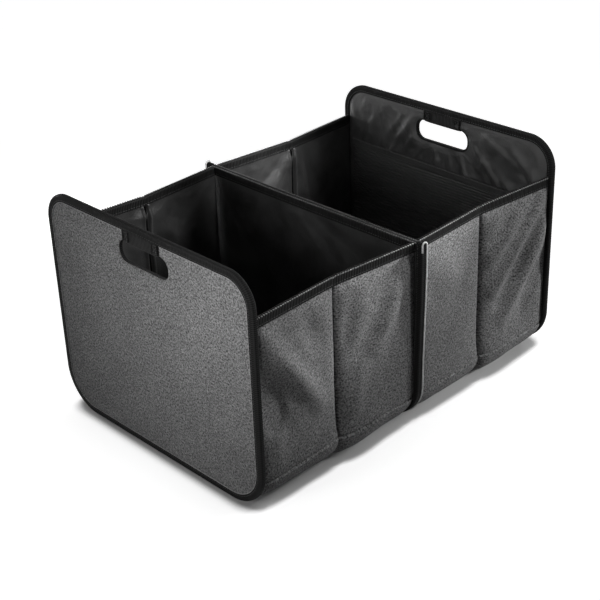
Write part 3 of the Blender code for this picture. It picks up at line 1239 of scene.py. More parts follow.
@dataclass(frozen=True)
class BoxPlan:
    """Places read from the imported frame, on the +X half where they come in pairs.

    Attributes:
        end_face: X of the end panel's outer face.
        end_inner: X of its inner face.
        cover_face: X of its cover's outer face.
        lining_face: X of its lining's inner face.
        end_half_width: Half its width.
        end_height: Its height.
        hinge_x: X of the walls' hinges at the divider.
        far_hinge_x: X of the walls' hinges at the end panel.
        crease_x: X of the crease.
        crease_inset: How far the walls stand in at their crease.
        wall_face: Y of the walls' outer face at their hinges.
        wall_inner: Y of the walls' inner face at their hinges.
        wall_top: Height of the walls.
        wall_foot: Height at which the stiff walls begin.
        base_lift: Height of the base cloth's underside.
        seam_face: Y of the divider seam's outer edge.
        seam_half: Half the seam's width.
        floor_half_width: Half the floor's width.
        floor_top: Height of the floor's upper face.
        floor_fold_x: X of the floor's fold.
    """

    end_face: float
    end_inner: float
    cover_face: float
    lining_face: float
    end_half_width: float
    end_height: float
    hinge_x: float
    far_hinge_x: float
    crease_x: float
    crease_inset: float
    wall_face: float
    wall_inner: float
    wall_top: float
    wall_foot: float
    base_lift: float
    seam_face: float
    seam_half: float
    floor_half_width: float
    floor_top: float
    floor_fold_x: float

    @classmethod
    def read(cls, frame: dict) -> "BoxPlan":
        """Read the places.


        Returns:
            The plan.
        """
        places = {joint["name"]: joint["pos_m"] for joint in frame["joints"]}
        tape_low, tape_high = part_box("right_end_edge_tape")
        base_low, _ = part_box("right_inner_base_fabric")
        seam_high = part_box("divider_seam_tape")[1]
        hinge = places["right_front_wall_fold"]
        crease = places["right_front_wall_crease"]
        floor_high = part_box("right_inner_floor_lining")[1]
        wall_face = -base_low.y
        inner_face = -hinge[1]
        return cls(
            end_face=tape_high.x,
            end_inner=tape_low.x,
            cover_face=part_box("right_end_cover")[1].x,
            lining_face=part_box("right_end_lining")[0].x,
            end_half_width=tape_high.y,
            end_height=tape_high.z,
            hinge_x=hinge[0],
            far_hinge_x=places["right_end_hinge"][0],
            crease_x=crease[0],
            crease_inset=wall_face + crease[1],
            wall_face=wall_face,
            wall_inner=inner_face,
            wall_top=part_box("right_front_inner_wall_top_tape")[1].z,
            wall_foot=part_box("right_front_inner_wall_cover")[0].z,
            base_lift=base_low.z,
            seam_face=seam_high.y,
            seam_half=seam_high.x,
            floor_half_width=floor_high.y,
            floor_top=floor_high.z,
            floor_fold_x=places["right_floor_crease"][0],
        )

    @property
    def half_span(self) -> float:
        """Length of one half of a compartment's wall."""
        return self.crease_x - self.hinge_x

    @property
    def base_radius(self) -> float:
        """Radius of the soft lower corners."""
        return self.wall_foot - self.base_lift

    @property
    def wall_thickness(self) -> float:
        """Thickness of a stiff wall with its tapes."""
        return self.wall_face - self.wall_inner

    def end_outline(self, inset: float = 0.0) -> RoundedOutline:
        """Outline of an end panel.

        Args:
            inset: How far it is pulled in.

        Returns:
            The outline.
        """
        return RoundedOutline(
            self.end_half_width - inset, inset, self.end_height - inset, 0.052 - inset,
            0.038 - inset,
        )


@dataclass(frozen=True)
class HandSlot:
    """Slot for the fingers in an end panel, as the CAD part cuts it."""

    width: float = 0.085
    height: float = 0.027
    drop: float = 0.022
    radius: float = 0.012

    def outline(self, plan: BoxPlan, inset: float = 0.0) -> RoundedOutline:
        """Outline of the slot.

        Args:
            plan: Places of the box.
            inset: How far it is pulled in.

        Returns:
            The outline.
        """
        top = plan.end_height - self.drop
        return RoundedOutline(
            self.width / 2 - inset, top - self.height + inset, top - inset,
            self.radius - inset, self.radius - inset,
        )

    def centre(self, plan: BoxPlan) -> Vector:
        """Middle of the slot as (0, y, z)."""
        return Vector((0.0, 0.0, plan.end_height - self.drop - self.height / 2))


@dataclass
class EndPanel:
    """One stiff end panel with its slot, bound edge and grip.

    Attributes:
        plan: Places of the box.
        looks: The finishes.
        name: left or right.
        side: -1 or 1 along X.
    """

    plan: BoxPlan
    looks: Wardrobe
    name: str
    side: int
    slot: HandSlot = HandSlot()
    tape_leg: float = 0.009
    tape_thickness: float = 0.001
    cloth: float = 0.0007
    grip_width: float = 0.064
    grip_webbing: float = 0.0011
    pocket_width: float = 0.318
    pocket_top: float = 0.202
    pocket_slant: float = 0.0065
    rib_pitch: float = 0.004
    corner_loss: float = 0.0016
    slot_roll: float = 0.0032
    rolled_edge: float = 0.00055

    @property
    def body(self) -> str:
        """Body that the panel's pieces ride on."""
        return f"{self.name}_end"

    def face(self, depth_x: float) -> float:
        """X on this panel of a place that the plan gives on the +X half."""
        return self.side * depth_x

    def spokes(self, count: int) -> tuple[list[tuple[Vector, Vector]], list[Vector]]:
        """Matching points of the slot's edge and the panel's edge.

        Args:
            count: Number of spokes round the panel.

        Returns:
            Pairs of points from the slot to the edge, and the edge's outward directions.
        """
        outline = self.plan.end_outline(self.tape_thickness + 0.0003)
        slot = self.slot.outline(self.plan)
        middle = self.slot.centre(self.plan)
        pairs, outs = [], []
        for index in range(count):
            distance = (2.0 * index / count - 1.0) * outline.half_length
            edge, out = outline.station(distance)
            low, high = 0.0, 1.0
            for _ in range(24):
                share = (low + high) / 2
                if slot.holds(middle.lerp(edge, share)):
                    low = share
                else:
                    high = share
            pairs.append((middle.lerp(edge, low), edge))
            outs.append(out)
        return pairs, outs

    def slotted_sheet(
        self,
        piece: Piece,
        face_x: float,
        outward: int,
        relief: Callable[[float, float], float],
        finish: Material,
    ) -> None:
        """Add a sheet over one face of the panel, with the slot rolled in.

        Args:
            piece: Piece that takes the sheet.
            face_x: X of the sheet's shown face.
            outward: -1 or 1, the way the shown face looks along X.
            relief: Lift of the cloth at (y, z).
            finish: Material.
        """
        spokes, rings = 264, 74
        pairs, _ = self.spokes(spokes)
        edge_hold = self.tape_leg + self.tape_thickness
        outline_in = self.plan.end_outline(edge_hold)
        roll = self.slot_roll

        def place(turn: float, share: float) -> Placed:
            """Place a point from its spoke and its way out from the slot."""
            near, edge = pairs[round(turn * spokes) % spokes]
            eased = share * (0.55 + 0.45 * share)
            spot = near.lerp(edge, eased)
            off = (spot - near).length
            clear = min(off / 0.010, 1.0)
            lift = relief(spot.y, spot.z) * clear
            inside = 1.0 if outline_in.holds(spot) else 0.0
            rim = self.edge_gap(spot, outline_in)
            lift = lift * smooth(0.0, 0.012, rim) + 0.0006 * inside * smooth(0.0, 0.0022, rim)
            fall = 0.0
            if off < roll:
                fall = (1.0 - math.sqrt(max(0.0, 1.0 - (1.0 - off / roll) ** 2))) * 0.0016
            x = face_x + outward * (lift - fall)
            return Vector((x, spot.y, spot.z)), (spot.y, spot.z)

        piece.add_sheet(
            place, (spokes, rings), Vector((outward, 0, 0)), self.cloth, finish, Close.LOOP
        )

    def edge_gap(self, spot: Vector, outline: RoundedOutline) -> float:
        """Distance of a point inside an outline from the outline's sides.

        Args:
            spot: Point (0, y, z).
            outline: The outline.

        Returns:
            The distance, 0 on or outside it.
        """
        across = outline.half_width - abs(spot.y)
        low = spot.z - outline.low
        high = outline.high - spot.z
        gap = min(across, low, high)
        radius = outline.low_radius if low < high else outline.high_radius
        upright = min(low, high)
        if across < radius and upright < radius:
            gap = radius - math.hypot(radius - across, radius - upright)
        return max(0.0, gap)

    def cover_relief(self, y: float, z: float) -> float:
        """Lift of the grey cover at one place."""
        place = Vector((y, z, 0.0))
        broad = swell(place, 0.085, 3.0 + self.side)
        return 0.0005 * broad + 0.00022 * swell(place, 0.030, 8.0 + self.side)

    def lining_folds(self) -> list[SoftFold]:
        """Folds of the lining, most of them running out from the slot."""
        top = self.plan.end_height
        rows = [
            (-0.050, 0.034, -0.104, 0.090, 0.0050, 0.0020),
            (-0.046, 0.052, -0.078, 0.104, 0.0060, -0.0014),
            (-0.030, 0.054, -0.052, 0.112, 0.0045, 0.0017),
            (-0.010, 0.054, -0.016, 0.084, 0.0045, 0.0011),
            (0.012, 0.053, 0.006, 0.094, 0.0050, 0.0013),
            (0.030, 0.054, 0.050, 0.082, 0.0045, 0.0015),
            (0.046, 0.046, 0.070, 0.078, 0.0045, 0.0014),
            (0.052, 0.028, 0.112, 0.108, 0.0050, 0.0021),
            (0.060, 0.050, 0.084, 0.102, 0.0060, -0.0014),
            (0.070, 0.026, 0.122, 0.094, 0.0045, 0.0012),
            (0.112, 0.030, 0.150, 0.094, 0.0060, 0.0015),
            (-0.108, 0.022, -0.154, 0.062, 0.0070, 0.0020),
            (-0.120, 0.040, -0.156, 0.080, 0.0050, -0.0013),
            (-0.160, 0.072, -0.112, 0.078, 0.0045, 0.0018),
            (-0.160, 0.058, -0.130, 0.066, 0.0045, 0.0013),
            (-0.062, 0.016, -0.128, 0.050, 0.0045, 0.0012),
            (-0.090, 0.060, -0.134, 0.104, 0.0055, 0.0015),
            (0.086, 0.060, 0.104, 0.118, 0.0050, 0.0011),
        ]
        return soft_folds(
            [(start, top - drop, end, top - fall, *form) for start, drop, end, fall, *form in rows]
        )

    def lining_relief(self, y: float, z: float) -> float:
        """Lift of the black lining at one place."""
        place = Vector((y, z, 0.0))
        lift = sum(fold.lift(y, z) for fold in self.lining_folds())
        lift += 0.0009 * swell(place, 0.034, 21.0 + self.side)
        lift += 0.0005 * swell(place, 0.012, 31.0 + self.side)
        lift += 0.0014 * crinkle(place, 0.050, 37.0) * (0.6 + swell(place, 0.06, 39.0))
        lift += 0.0004 * crinkle(place, 0.022, 41.0)
        lift *= smooth(0.190, 0.206, z)
        return held_above(1.2 * lift + 0.0006, -0.0001, 0.0003)

    def build_cloths(self) -> list[Thing]:
        """Make the cover and the lining.

        Returns:
            The two pieces.
        """
        plan, looks = self.plan, self.looks
        cover = (plan.cover_face, self.side, self.cover_relief, looks.melange)
        lining = (plan.lining_face, -self.side, self.lining_relief, looks.lining)
        cloths = []
        for kind, slot, (face_x, outward, relief, finish) in (
            ("cover", "grey_melange_fabric", cover),
            ("lining", "black_nylon_lining", lining),
        ):
            piece = Piece(f"{self.name}_end_{kind}_cloth", looks)
            self.slotted_sheet(piece, self.face(face_x), outward, relief, finish)
            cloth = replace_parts(piece.done(), f"{self.name}_end_{kind}")
            cloths.append(cloth)
        return cloths

    def build_edge_tape(self) -> Thing:
        """Make the binding tape round the panel with its two rows of stitches.

        Returns:
            The piece.
        """
        plan = self.plan
        outline = plan.end_outline()
        half = (plan.end_face - plan.end_inner) / 2
        middle = self.face((plan.end_face + plan.end_inner) / 2)
        section = TapeSection(self.tape_leg, half, self.tape_thickness, 0.0026)
        length = 2.0 * outline.half_length
        piece = Piece(f"{self.name}_end_binding", self.looks)

        def rail(share: float) -> Track:
            """Edge of the panel at a share of the way round it."""
            spot, out = outline.at(share)
            sunk = 0.0002 + pucker(share * length, 0.00012)
            return Vector((middle, spot.y, spot.z)) - out * sunk, -out, ALONG_X

        piece.add_binding(section, rail, length, 900, self.looks.tape, Close.LOOP)
        depth = self.tape_leg - section.seam
        piece.add_tape_rows(rail, length, depth, half - 0.0002, self.looks.thread)
        rolled = plan.end_outline(self.tape_leg + 0.0002)
        level = self.face(plan.cover_face + 0.0007)

        def rolled_edge(share: float) -> Track:
            """Rolled edge of the grey cover at a share of the way round it."""
            spot, out = rolled.at(share)
            return Vector((level, spot.y, spot.z)), -out, ALONG_X

        around = 2.0 * rolled.half_length
        # The rolled edge takes the pale whipping finish, a thin light line that is partly painted
        # highlight.
        piece.add_cord(
            rolled_edge, around, self.rolled_edge, 400, self.looks.whipping_highlight, Close.LOOP
        )
        tape = piece.done()
        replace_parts(tape, f"{self.name}_end_edge_tape")
        return tape

    def build_slot_rim(self) -> Thing:
        """Make the tape that binds the slot, turned over onto the lining.

        Returns:
            The piece.
        """
        plan = self.plan
        slot = self.slot.outline(plan)
        low, high = plan.lining_face - 0.0009, plan.cover_face - 0.0013
        lip, wall, inset = 0.0026, 0.0007, 0.0006
        section = [
            (0.0, high), (-wall, high), (-wall, low + wall * 1.6), (-wall - 0.0006, low + wall),
            (-lip, low + wall), (-lip - 0.0003, low + wall * 0.4), (-lip, low),
            (-wall, low - 0.0002), (-0.0002, low + wall * 0.5), (0.0, low + wall * 1.5),
        ]
        length = 2.0 * slot.half_length
        piece = Piece(f"{self.name}_slot_binding", self.looks)

        def rail(share: float) -> Track:
            """Edge of the slot at a share of the way round it."""
            spot, out = slot.at(share)
            edge = Vector((0.0, spot.y, spot.z)) - out * inset
            return edge, -out, ALONG_X * self.side

        piece.add_tape(section, rail, length, 200, self.looks.tape, Close.LOOP)
        return piece.done()

    def build_grip(self) -> Thing:
        """Make the webbing folded over the bar above the slot, with its box stitches.

        Returns:
            The piece.
        """
        plan = self.plan
        top = plan.end_height - self.tape_leg + 0.0012
        under = plan.end_height - self.slot.drop - 0.0022
        outer = plan.end_face + 0.0002
        inner = plan.end_inner - 0.0002
        bend = (outer - inner) / 2
        straight = top - under - bend
        length = 2.0 * straight + math.pi * bend
        middle = (outer + inner) / 2

        def fold(distance: float) -> tuple[float, float, float, float]:
            """X, Z and outward direction of the webbing's shown face."""
            if distance < straight:
                return outer, top - distance, 1.0, 0.0
            if distance > length - straight:
                return inner, top - (length - distance), -1.0, 0.0
            turn = (distance - straight) / bend
            x, z = math.cos(turn), -math.sin(turn)
            return middle + bend * x, under + bend + bend * z, x, z

        def place(share: float, across: float) -> Placed:
            """Place a point of the webbing from its shares along and across it."""
            distance = share * length
            x, z, out_x, out_z = fold(distance)
            way = 2.0 * across - 1.0
            tuck = 0.0028 * max(0.0, -out_z) * (way ** 4)
            half = self.grip_width / 2 - 0.0005 - tuck
            crown = 0.00035 * (1.0 - way ** 6)
            held = 1.0 - 0.9 * smooth(length * 0.06, 0.0, min(distance, length - distance))
            lift, y = crown * held, way * half
            return Vector((self.face(x + out_x * lift), y, z + out_z * lift)), (y, distance)

        piece = Piece(f"{self.name}_grip_webbing", self.looks)
        piece.add_sheet(
            place, (44, 40), Vector((self.side, 0, 0)), self.grip_webbing, self.looks.webbing
        )
        for face, x in ((1, outer), (-1, inner)):
            self.stitch_grip(piece, face, x, top, under + bend)
        grip = piece.done()
        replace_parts(grip, f"{self.name}_end_grip")
        return grip

    def stitch_grip(self, piece: Piece, face: int, x: float, top: float, low: float) -> None:
        """Sew a box with a cross at each end of the grip.

        Args:
            piece: The grip.
            face: 1 on the outer face of the panel and -1 on the inner one.
            x: X of the webbing's face on the +X panel.
            top: Height of the webbing's upper end.
            low: Height at which the webbing turns under.
        """
        out = Vector((self.face(face), 0.0, 0.0))
        level = self.face(x + face * 0.00045)
        high, foot = top - 0.0022, low + 0.0006
        for end in (-1, 1):
            near, far = end * 0.0205, end * 0.0292
            corners = [(near, foot), (far, foot), (far, high), (near, high)]
            runs = list(zip(corners, corners[1:] + corners[:1]))
            runs += [((near, foot), (far, high)), ((near, high), (far, foot))]
            for start, stop in runs:
                begin = Vector((level, start[0], start[1]))
                finish = Vector((level, stop[0], stop[1]))
                gap = (finish - begin).length

                def seam(distance: float, a=begin, b=finish, total=gap) -> Pair:
                    """Place and outward direction along one run of the box."""
                    return a.lerp(b, distance / total), out

                piece.add_stitches(seam, gap, self.looks.thread, 0.0021, (0.0019, 0.0006))
            for bar in (near, far):
                low_end = Vector((level, bar, foot - 0.0004))
                rise = high - foot + 0.0014

                def rail(share: float, base=low_end, height=rise) -> Track:
                    """Middle of the thick bar of stitches at a share of its height."""
                    spot = base + Vector((0.0, 0.0, height * share))
                    return spot, ALONG_X, ALONG_Y

                piece.add_cord(rail, rise, 0.0011, 12, self.looks.webbing)

    def build_pocket(self) -> Thing:
        """Make the ribbed pocket with its hem.

        Returns:
            The piece.
        """
        plan = self.plan
        foot = self.tape_leg + 0.0004
        back = plan.lining_face - 0.0012
        half = self.pocket_width / 2
        height = self.pocket_top - foot
        rounding = 0.052 - foot

        def place(across: float, up: float) -> Placed:
            """Place a point of the pocket from its shares across and up it."""
            z = foot + (height + self.pocket_slant * across) * up
            room = half
            over = foot + rounding - z
            if over > 0.0:
                room -= rounding - math.sqrt(max(0.0, rounding**2 - over**2))
            y = (2.0 * across - 1.0) * room
            spot = Vector((y, z, 0.0))
            drop = self.pocket_top + self.pocket_slant * across - z
            wave = 0.5 - 0.5 * math.cos(2.0 * math.pi * (z - foot) / self.rib_pitch)
            rib = 0.0011 * wave**1.6 * smooth(0.0095, 0.0125, drop)
            rib *= 0.75 + 0.5 * noise.noise(Vector((y * 55.0, round(z / self.rib_pitch), 4.0)))
            hem = 0.0010 * smooth(0.0105, 0.0088, drop) + 0.0009 * smooth(0.0022, 0.0006, drop)
            free = smooth(0.0, 0.03, half - abs(y)) * smooth(0.12, 0.0, drop)
            belly = free * (0.0016 + 0.0013 * swell(spot, 0.05, 77.0))
            return Vector((self.face(back - rib - hem - belly), y, z)), (y, z)

        piece = Piece(f"{self.name}_pocket_cloth", self.looks)
        piece.add_sheet(
            place, (64, 290), Vector((-self.side, 0, 0)), 0.0006, self.looks.ribbed
        )
        hem_line = self.pocket_top - 0.0088
        edge_line = self.pocket_top - 0.0012

        def seam(distance: float) -> Pair:
            """Place and outward direction along the hem."""
            share = distance / (2.0 * half)
            point, _ = place(share, (hem_line - foot) / height)
            return point + Vector((-self.side * 0.0001, 0, 0)), Vector((-self.side, 0, 0))

        piece.add_stitches(seam, 2.0 * half, self.looks.thread)

        def edge(share: float) -> Track:
            """Rolled upper edge of the pocket at a share of its width."""
            point, _ = place(share, (edge_line - foot) / height)
            return point, ALONG_X, ALONG_Z

        piece.add_cord(edge, 2.0 * half, 0.0008, 90, self.looks.thread)
        pocket = piece.done()
        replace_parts(pocket, f"{self.name}_end_pocket")
        return pocket

    def build(self) -> None:
        """Make every piece of the panel and hang it on its body."""
        pieces = self.build_cloths()
        pieces += [self.build_edge_tape(), self.build_slot_rim(), self.build_grip()]
        if self.side > 0:
            pieces.append(self.build_pocket())
        for piece in pieces:
            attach(piece, self.body)


@dataclass
class Compartment:
    """Soft walls, base and floor of one compartment.

    Attributes:
        plan: Places of the box.
        looks: The finishes.
        name: left or right.
        side: -1 or 1 along X.
        gusset: How far the stiff walls and the floor are cut back at their lower corners.
        hem_height: Height of the hem line over the soft corner.
        tape_leg: Depth of the top tapes' legs.
        cloth: Thickness of the cloth.
        fullness: Strength of the grey cloth's soft folds.
        pillow_rise: How far the grey cloth stands out beside its seams, within pillow_run.
        shaded_rise: The same on the shaded side of a front crease, within shaded_run.
        sewn_run: Distance in which the cloth rises from its sewn ends.
        crease_dip: Depth of the sewn line down the crease.
        hem_dip: Depth of the hem's sewn line.
        hem_lip: How far the cloth stands out under the hem.
        lining_ridge: Height of the lining's fold on both sides of the crease.
        lining_notch: Depth of the lining's crease between them.
        shadow_cord: Radius of the black cord in the lining's crease, which paints the fold's
            shadow.
        grid_pull: How strongly the grid is drawn close at the crease.
    """

    plan: BoxPlan
    looks: Wardrobe
    name: str
    side: int
    gusset: float = 0.036
    hem_height: float = 0.036
    tape_leg: float = 0.0115
    cloth: float = 0.0006
    fullness: float = 3.1
    cloth_below_top: float = 0.0011
    lining_behind: float = 0.00135
    base_lining_lift: float = 0.0011
    pillow_rise: float = 0.0030
    pillow_run: float = 0.007
    shaded_rise: float = 0.0064
    shaded_run: float = 0.0075
    sewn_run: float = 0.006
    crease_dip: float = 0.0018
    crease_dip_half: float = 0.0016
    hem_dip: float = 0.0020
    hem_dip_half: float = 0.0010
    hem_lip: float = 0.0011
    lining_ridge: float = 0.0022
    lining_ridge_off: float = 0.0048
    lining_ridge_half: float = 0.0021
    lining_notch: float = 0.0016
    lining_notch_half: float = 0.0026
    shadow_cord: float = 0.0014
    shadow_cord_inside: float = 0.0017
    grid_pull: float = 0.78

    @property
    def near(self) -> float:
        """X at which the cloth meets the divider's seam."""
        return self.plan.seam_half + 0.0002

    @property
    def far(self) -> float:
        """X at which the cloth meets the end panel."""
        return self.plan.end_inner - 0.0002

    def reach(self, share: float) -> float:
        """Distance from the box's middle, with the grid drawn close at the crease."""
        eased = share + self.grid_pull / (2.0 * math.pi) * math.sin(2.0 * math.pi * share)
        near, far, crease = self.near, self.far, self.plan.crease_x
        if eased < 0.5:
            return near + (crease - near) * eased * 2.0
        return crease + (far - crease) * (eased - 0.5) * 2.0

    @property
    def tape_foot(self) -> float:
        """Height of the top tape's lower edge."""
        return self.plan.wall_top - self.tape_leg

    @property
    def lining_depth(self) -> float:
        """How far the black lining lies behind the wall's outer plane."""
        return self.plan.wall_thickness - self.lining_behind

    def crease_share(self, reach: float) -> float:
        """How near a place is to the crease, from 0 at the hinges to 1."""
        off = abs(reach - self.plan.crease_x)
        soft = math.sqrt(off * off + 0.0009**2) - 0.0009
        return max(0.0, 1.0 - soft / self.plan.half_span)

    def half_width(self, reach: float) -> float:
        """Y of the wall's outer plane at a distance from the box's middle."""
        return self.plan.wall_face - self.plan.crease_inset * self.crease_share(reach)

    def foot(self, reach: float) -> float:
        """Height of the stiff wall's lower edge, which rises towards the crease."""
        along = self.plan.half_span * (1.0 - abs(reach - self.plan.crease_x) / self.plan.half_span)
        return self.plan.wall_foot + max(0.0, along - self.gusset)

    def crease_fade(self, reach: float, height: float) -> float:
        """How far the cloth stands out again where the crease runs out at its foot."""
        inset = self.plan.crease_inset * self.crease_share(reach)
        return 0.5 * inset * (1.0 - smooth(0.012, 0.072, height))

    def corner_radius(self, reach: float) -> float:
        """Radius of the base's lower corner, which is tighter between its sewn ends."""
        ends = smooth(self.near, self.near + 0.022, reach) * smooth(
            self.far, self.far - 0.040, reach
        )
        return self.plan.base_radius * (1.0 - 0.08 * ends)

    def outline(
        self, reach: float, radius: float, inset: float = 0.0, lift: float = 0.0
    ) -> RoundedOutline:
        """Outline of the soft base at a distance from the box's middle, open at the top.

        Args:
            reach: Distance from the box's middle.
            radius: Radius of its lower corners.
            inset: How far it lies behind the wall's outer plane.
            lift: How far it lies above the base cloth's underside.

        Returns:
            The outline.
        """
        plan = self.plan
        return RoundedOutline(
            self.half_width(reach) - inset, plan.base_lift + lift, plan.wall_top, radius, 0.0
        )

    def outer_folds(self, face: int) -> list[SoftFold]:
        """Folds of the grey cloth, as (distance from the divider, height)."""
        if face > 0:
            return soft_folds([
                (0.020, 0.205, 0.090, 0.120, 0.016, 0.0013),
                (0.150, 0.110, 0.225, 0.190, 0.016, 0.0014),
                (0.030, 0.080, 0.080, 0.140, 0.018, -0.0010),
                (0.160, 0.190, 0.210, 0.110, 0.018, -0.0010),
            ])
        if self.side < 0:
            return soft_folds([
                (0.232, 0.212, 0.150, 0.098, 0.013, 0.0024),
                (0.236, 0.150, 0.205, 0.085, 0.016, -0.0022),
                (0.165, 0.205, 0.145, 0.165, 0.014, -0.0012),
                (0.220, 0.060, 0.200, 0.120, 0.010, 0.0008),
                (0.020, 0.205, 0.060, 0.130, 0.012, 0.0017),
                (0.055, 0.170, 0.110, 0.110, 0.016, -0.0012),
                (0.095, 0.205, 0.110, 0.140, 0.012, -0.0010),
                (0.085, 0.110, 0.100, 0.050, 0.010, 0.0008),
            ])
        return soft_folds([
            (0.020, 0.200, 0.080, 0.150, 0.020, 0.0010),
            (0.100, 0.200, 0.060, 0.110, 0.020, -0.0008),
            (0.226, 0.216, 0.140, 0.120, 0.010, 0.0026),
            (0.196, 0.216, 0.132, 0.160, 0.009, 0.0018),
            (0.236, 0.176, 0.160, 0.074, 0.011, 0.0023),
            (0.216, 0.182, 0.150, 0.100, 0.009, -0.0015),
            (0.236, 0.140, 0.196, 0.072, 0.012, -0.0017),
            (0.170, 0.216, 0.138, 0.186, 0.009, -0.0012),
        ])

    def inner_folds(self, face: int) -> list[SoftFold]:
        """Folds of the black lining, as (distance from the divider, height)."""
        sheen = 0.0026 if face > 0 else 0.0020
        return soft_folds([
            (0.112, 0.212, 0.040, 0.120, 0.011, sheen),
            (0.090, 0.218, 0.045, 0.180, 0.012, -sheen * 0.7),
            (0.060, 0.150, 0.020, 0.060, 0.016, sheen * 0.6),
            (0.128, 0.218, 0.146, 0.120, 0.009, sheen * 0.9),
            (0.146, 0.215, 0.162, 0.150, 0.009, -sheen * 0.6),
            (0.170, 0.205, 0.215, 0.130, 0.014, sheen * 0.6),
            (0.160, 0.170, 0.190, 0.080, 0.014, -sheen * 0.6),
            (0.020, 0.210, 0.015, 0.080, 0.012, -sheen * 0.5),
        ])

    def outer_relief(self, face: int, reach: float, height: float) -> float:
        """Lift of the grey cloth from the wall's outer plane.

        Args:
            face: -1 on the front wall and 1 on the rear wall.
            reach: Distance from the box's middle.
            height: Height up the cloth, unrolled below the soft corner.

        Returns:
            The lift, negative towards the inside.
        """
        plan = self.plan
        along = reach - plan.hinge_x
        place = Vector((reach * self.side, height, face * 0.3))
        tape = self.tape_foot
        off = reach - plan.crease_x
        upper = smooth(-0.030, 0.015, height)
        shaded = face < 0 and off * self.side > 0.0
        pillow = 1.0 - math.exp(-abs(off) / (self.shaded_run if shaded else self.pillow_run))
        pillow *= 1.0 - math.exp(-max(0.0, reach - self.near) / self.sewn_run)
        pillow *= 1.0 - math.exp(-max(0.0, self.far - reach) / self.sewn_run)
        pillow *= 1.0 - math.exp(-max(0.0, tape + 0.001 - height) / 0.009)
        folds = sum(fold.lift(along, height) for fold in self.outer_folds(face))
        waves = 0.0009 * swell(place, 0.050, 5.0) + 0.0004 * swell(place, 0.020, 9.0)
        rise = self.shaded_rise if shaded else self.pillow_rise
        rise += (self.pillow_rise - rise) * smooth(0.020, 0.080, abs(off))
        lift = -0.0012 + rise * pillow + (self.fullness * folds + waves) * pillow**0.7
        lift = held_above(lift, -0.0016)
        sewn = smooth(self.hem_height - 0.004, self.hem_height + 0.010, height)
        sewn *= smooth(plan.wall_top - 0.004, tape, height)
        lift -= self.crease_dip * math.exp(-((off / self.crease_dip_half) ** 2)) * sewn
        lift *= upper
        hem = height - self.hem_height
        lift -= self.hem_dip * math.exp(-((hem / self.hem_dip_half) ** 2))
        lift += self.hem_lip * smooth(0.0004, -0.0016, hem) * smooth(-0.034, -0.012, hem)
        return lift - 0.0001 + self.crease_fade(reach, height)

    def wall_body(self, face_name: str, half: str) -> str:
        """Body of one stiff wall panel."""
        return f"{self.name}_{face_name}_{half}_wall"

    def bend(self, piece: Thing, face_name: str, face: int, soft: float) -> None:
        """Bake a piece of a wall's transform into its mesh.

        Args:
            piece: The piece.
            face_name: front or rear; not used.
            face: -1 or 1; not used.
            soft: How far the bend would reach to each side of the crease; not used.
        """
        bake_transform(piece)

    def build_wall_cloth(self, face_name: str, face: int, lined: bool) -> None:
        """Make the grey cloth or the black lining of one long wall, above its gusset.

        Args:
            face_name: front or rear.
            face: -1 or 1.
            lined: True for the black lining.
        """
        top = self.plan.wall_top - self.cloth_below_top
        kind, slot = ("cover", "grey_melange_fabric")
        facing, finish, soft = face, self.looks.melange, 0.004
        if lined:
            kind, slot = ("lining", "black_nylon_lining")
            facing, finish, soft = -face, self.looks.lining, 0.010

        def place(share: float, up: float) -> Placed:
            """Place a point from its shares along the wall and up it."""
            reach = self.reach(share)
            low = self.foot(reach)
            height = low + (top - low) * up
            x = self.side * reach
            if lined:
                return self.lining_place(face, reach, height), (x, height)
            out = self.half_width(reach) + self.outer_relief(face, reach, height)
            return Vector((x, face * out, height)), (x, height)

        piece = Piece(f"{self.name}_{face_name}_wall_{kind}", self.looks)
        piece.add_sheet(place, (132, 88), ALONG_Y * facing, self.cloth, finish)
        cloth = piece.done()
        nodes = [f"{self.wall_body(face_name, half)}_{kind}" for half in HALVES]
        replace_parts(cloth, *nodes)
        self.bend(cloth, face_name, face, soft)

    def lining_place(self, face: int, reach: float, height: float) -> Vector:
        """Point of the black lining on the upright wall.

        Args:
            face: -1 on the front wall and 1 on the rear wall.
            reach: Distance from the box's middle.
            height: Height of the point.

        Returns:
            The point.
        """
        plan, tape = self.plan, self.tape_foot
        place = Vector((reach * self.side, height, face * 0.7))
        free = smooth(tape + 0.001, tape - 0.014, height)
        ends = smooth(self.near, self.near + 0.012, reach) * smooth(
            self.far, self.far - 0.012, reach
        )
        folds = sum(f.lift(reach - plan.hinge_x, height) for f in self.inner_folds(face))
        waves = 0.0009 * swell(place, 0.045, 45.0) + 0.0004 * swell(place, 0.018, 49.0)
        waves += 0.0008 * crinkle(place, 0.055, 53.0)
        low_end = smooth(-0.010, 0.050, height)
        lift = (folds * 1.3 + waves + 0.0006) * free * (0.3 + 0.7 * ends) * low_end
        lift = held_above(lift, -0.0003, 0.0003)
        off = reach - plan.crease_x
        beside = (abs(off) - self.lining_ridge_off) / self.lining_ridge_half
        ridge = self.lining_ridge * math.exp(-(beside**2))
        ridge -= self.lining_notch * math.exp(-((off / self.lining_notch_half) ** 4))
        ridge *= smooth(tape + 0.002, tape - 0.001, height)
        y = self.half_width(reach) - self.lining_depth - lift - ridge
        return Vector((self.side * reach, face * y, height))

    def build_top_tape(self, face_name: str, face: int) -> None:
        """Make the tape over one long wall's top edge, with its two rows of stitches, its pale
        whipping, which partly paints the fold's highlight, and a black cord that paints the shadow
        down the lining's crease.
        """
        plan = self.plan
        half = plan.wall_thickness / 2 - 0.00025
        centre = plan.wall_thickness / 2
        section = TapeSection(self.tape_leg, half, 0.0008, 0.0021)
        low, high = self.near + 0.0006, self.far - 0.0006
        length = high - low
        piece = Piece(f"{self.name}_{face_name}_wall_binding", self.looks)

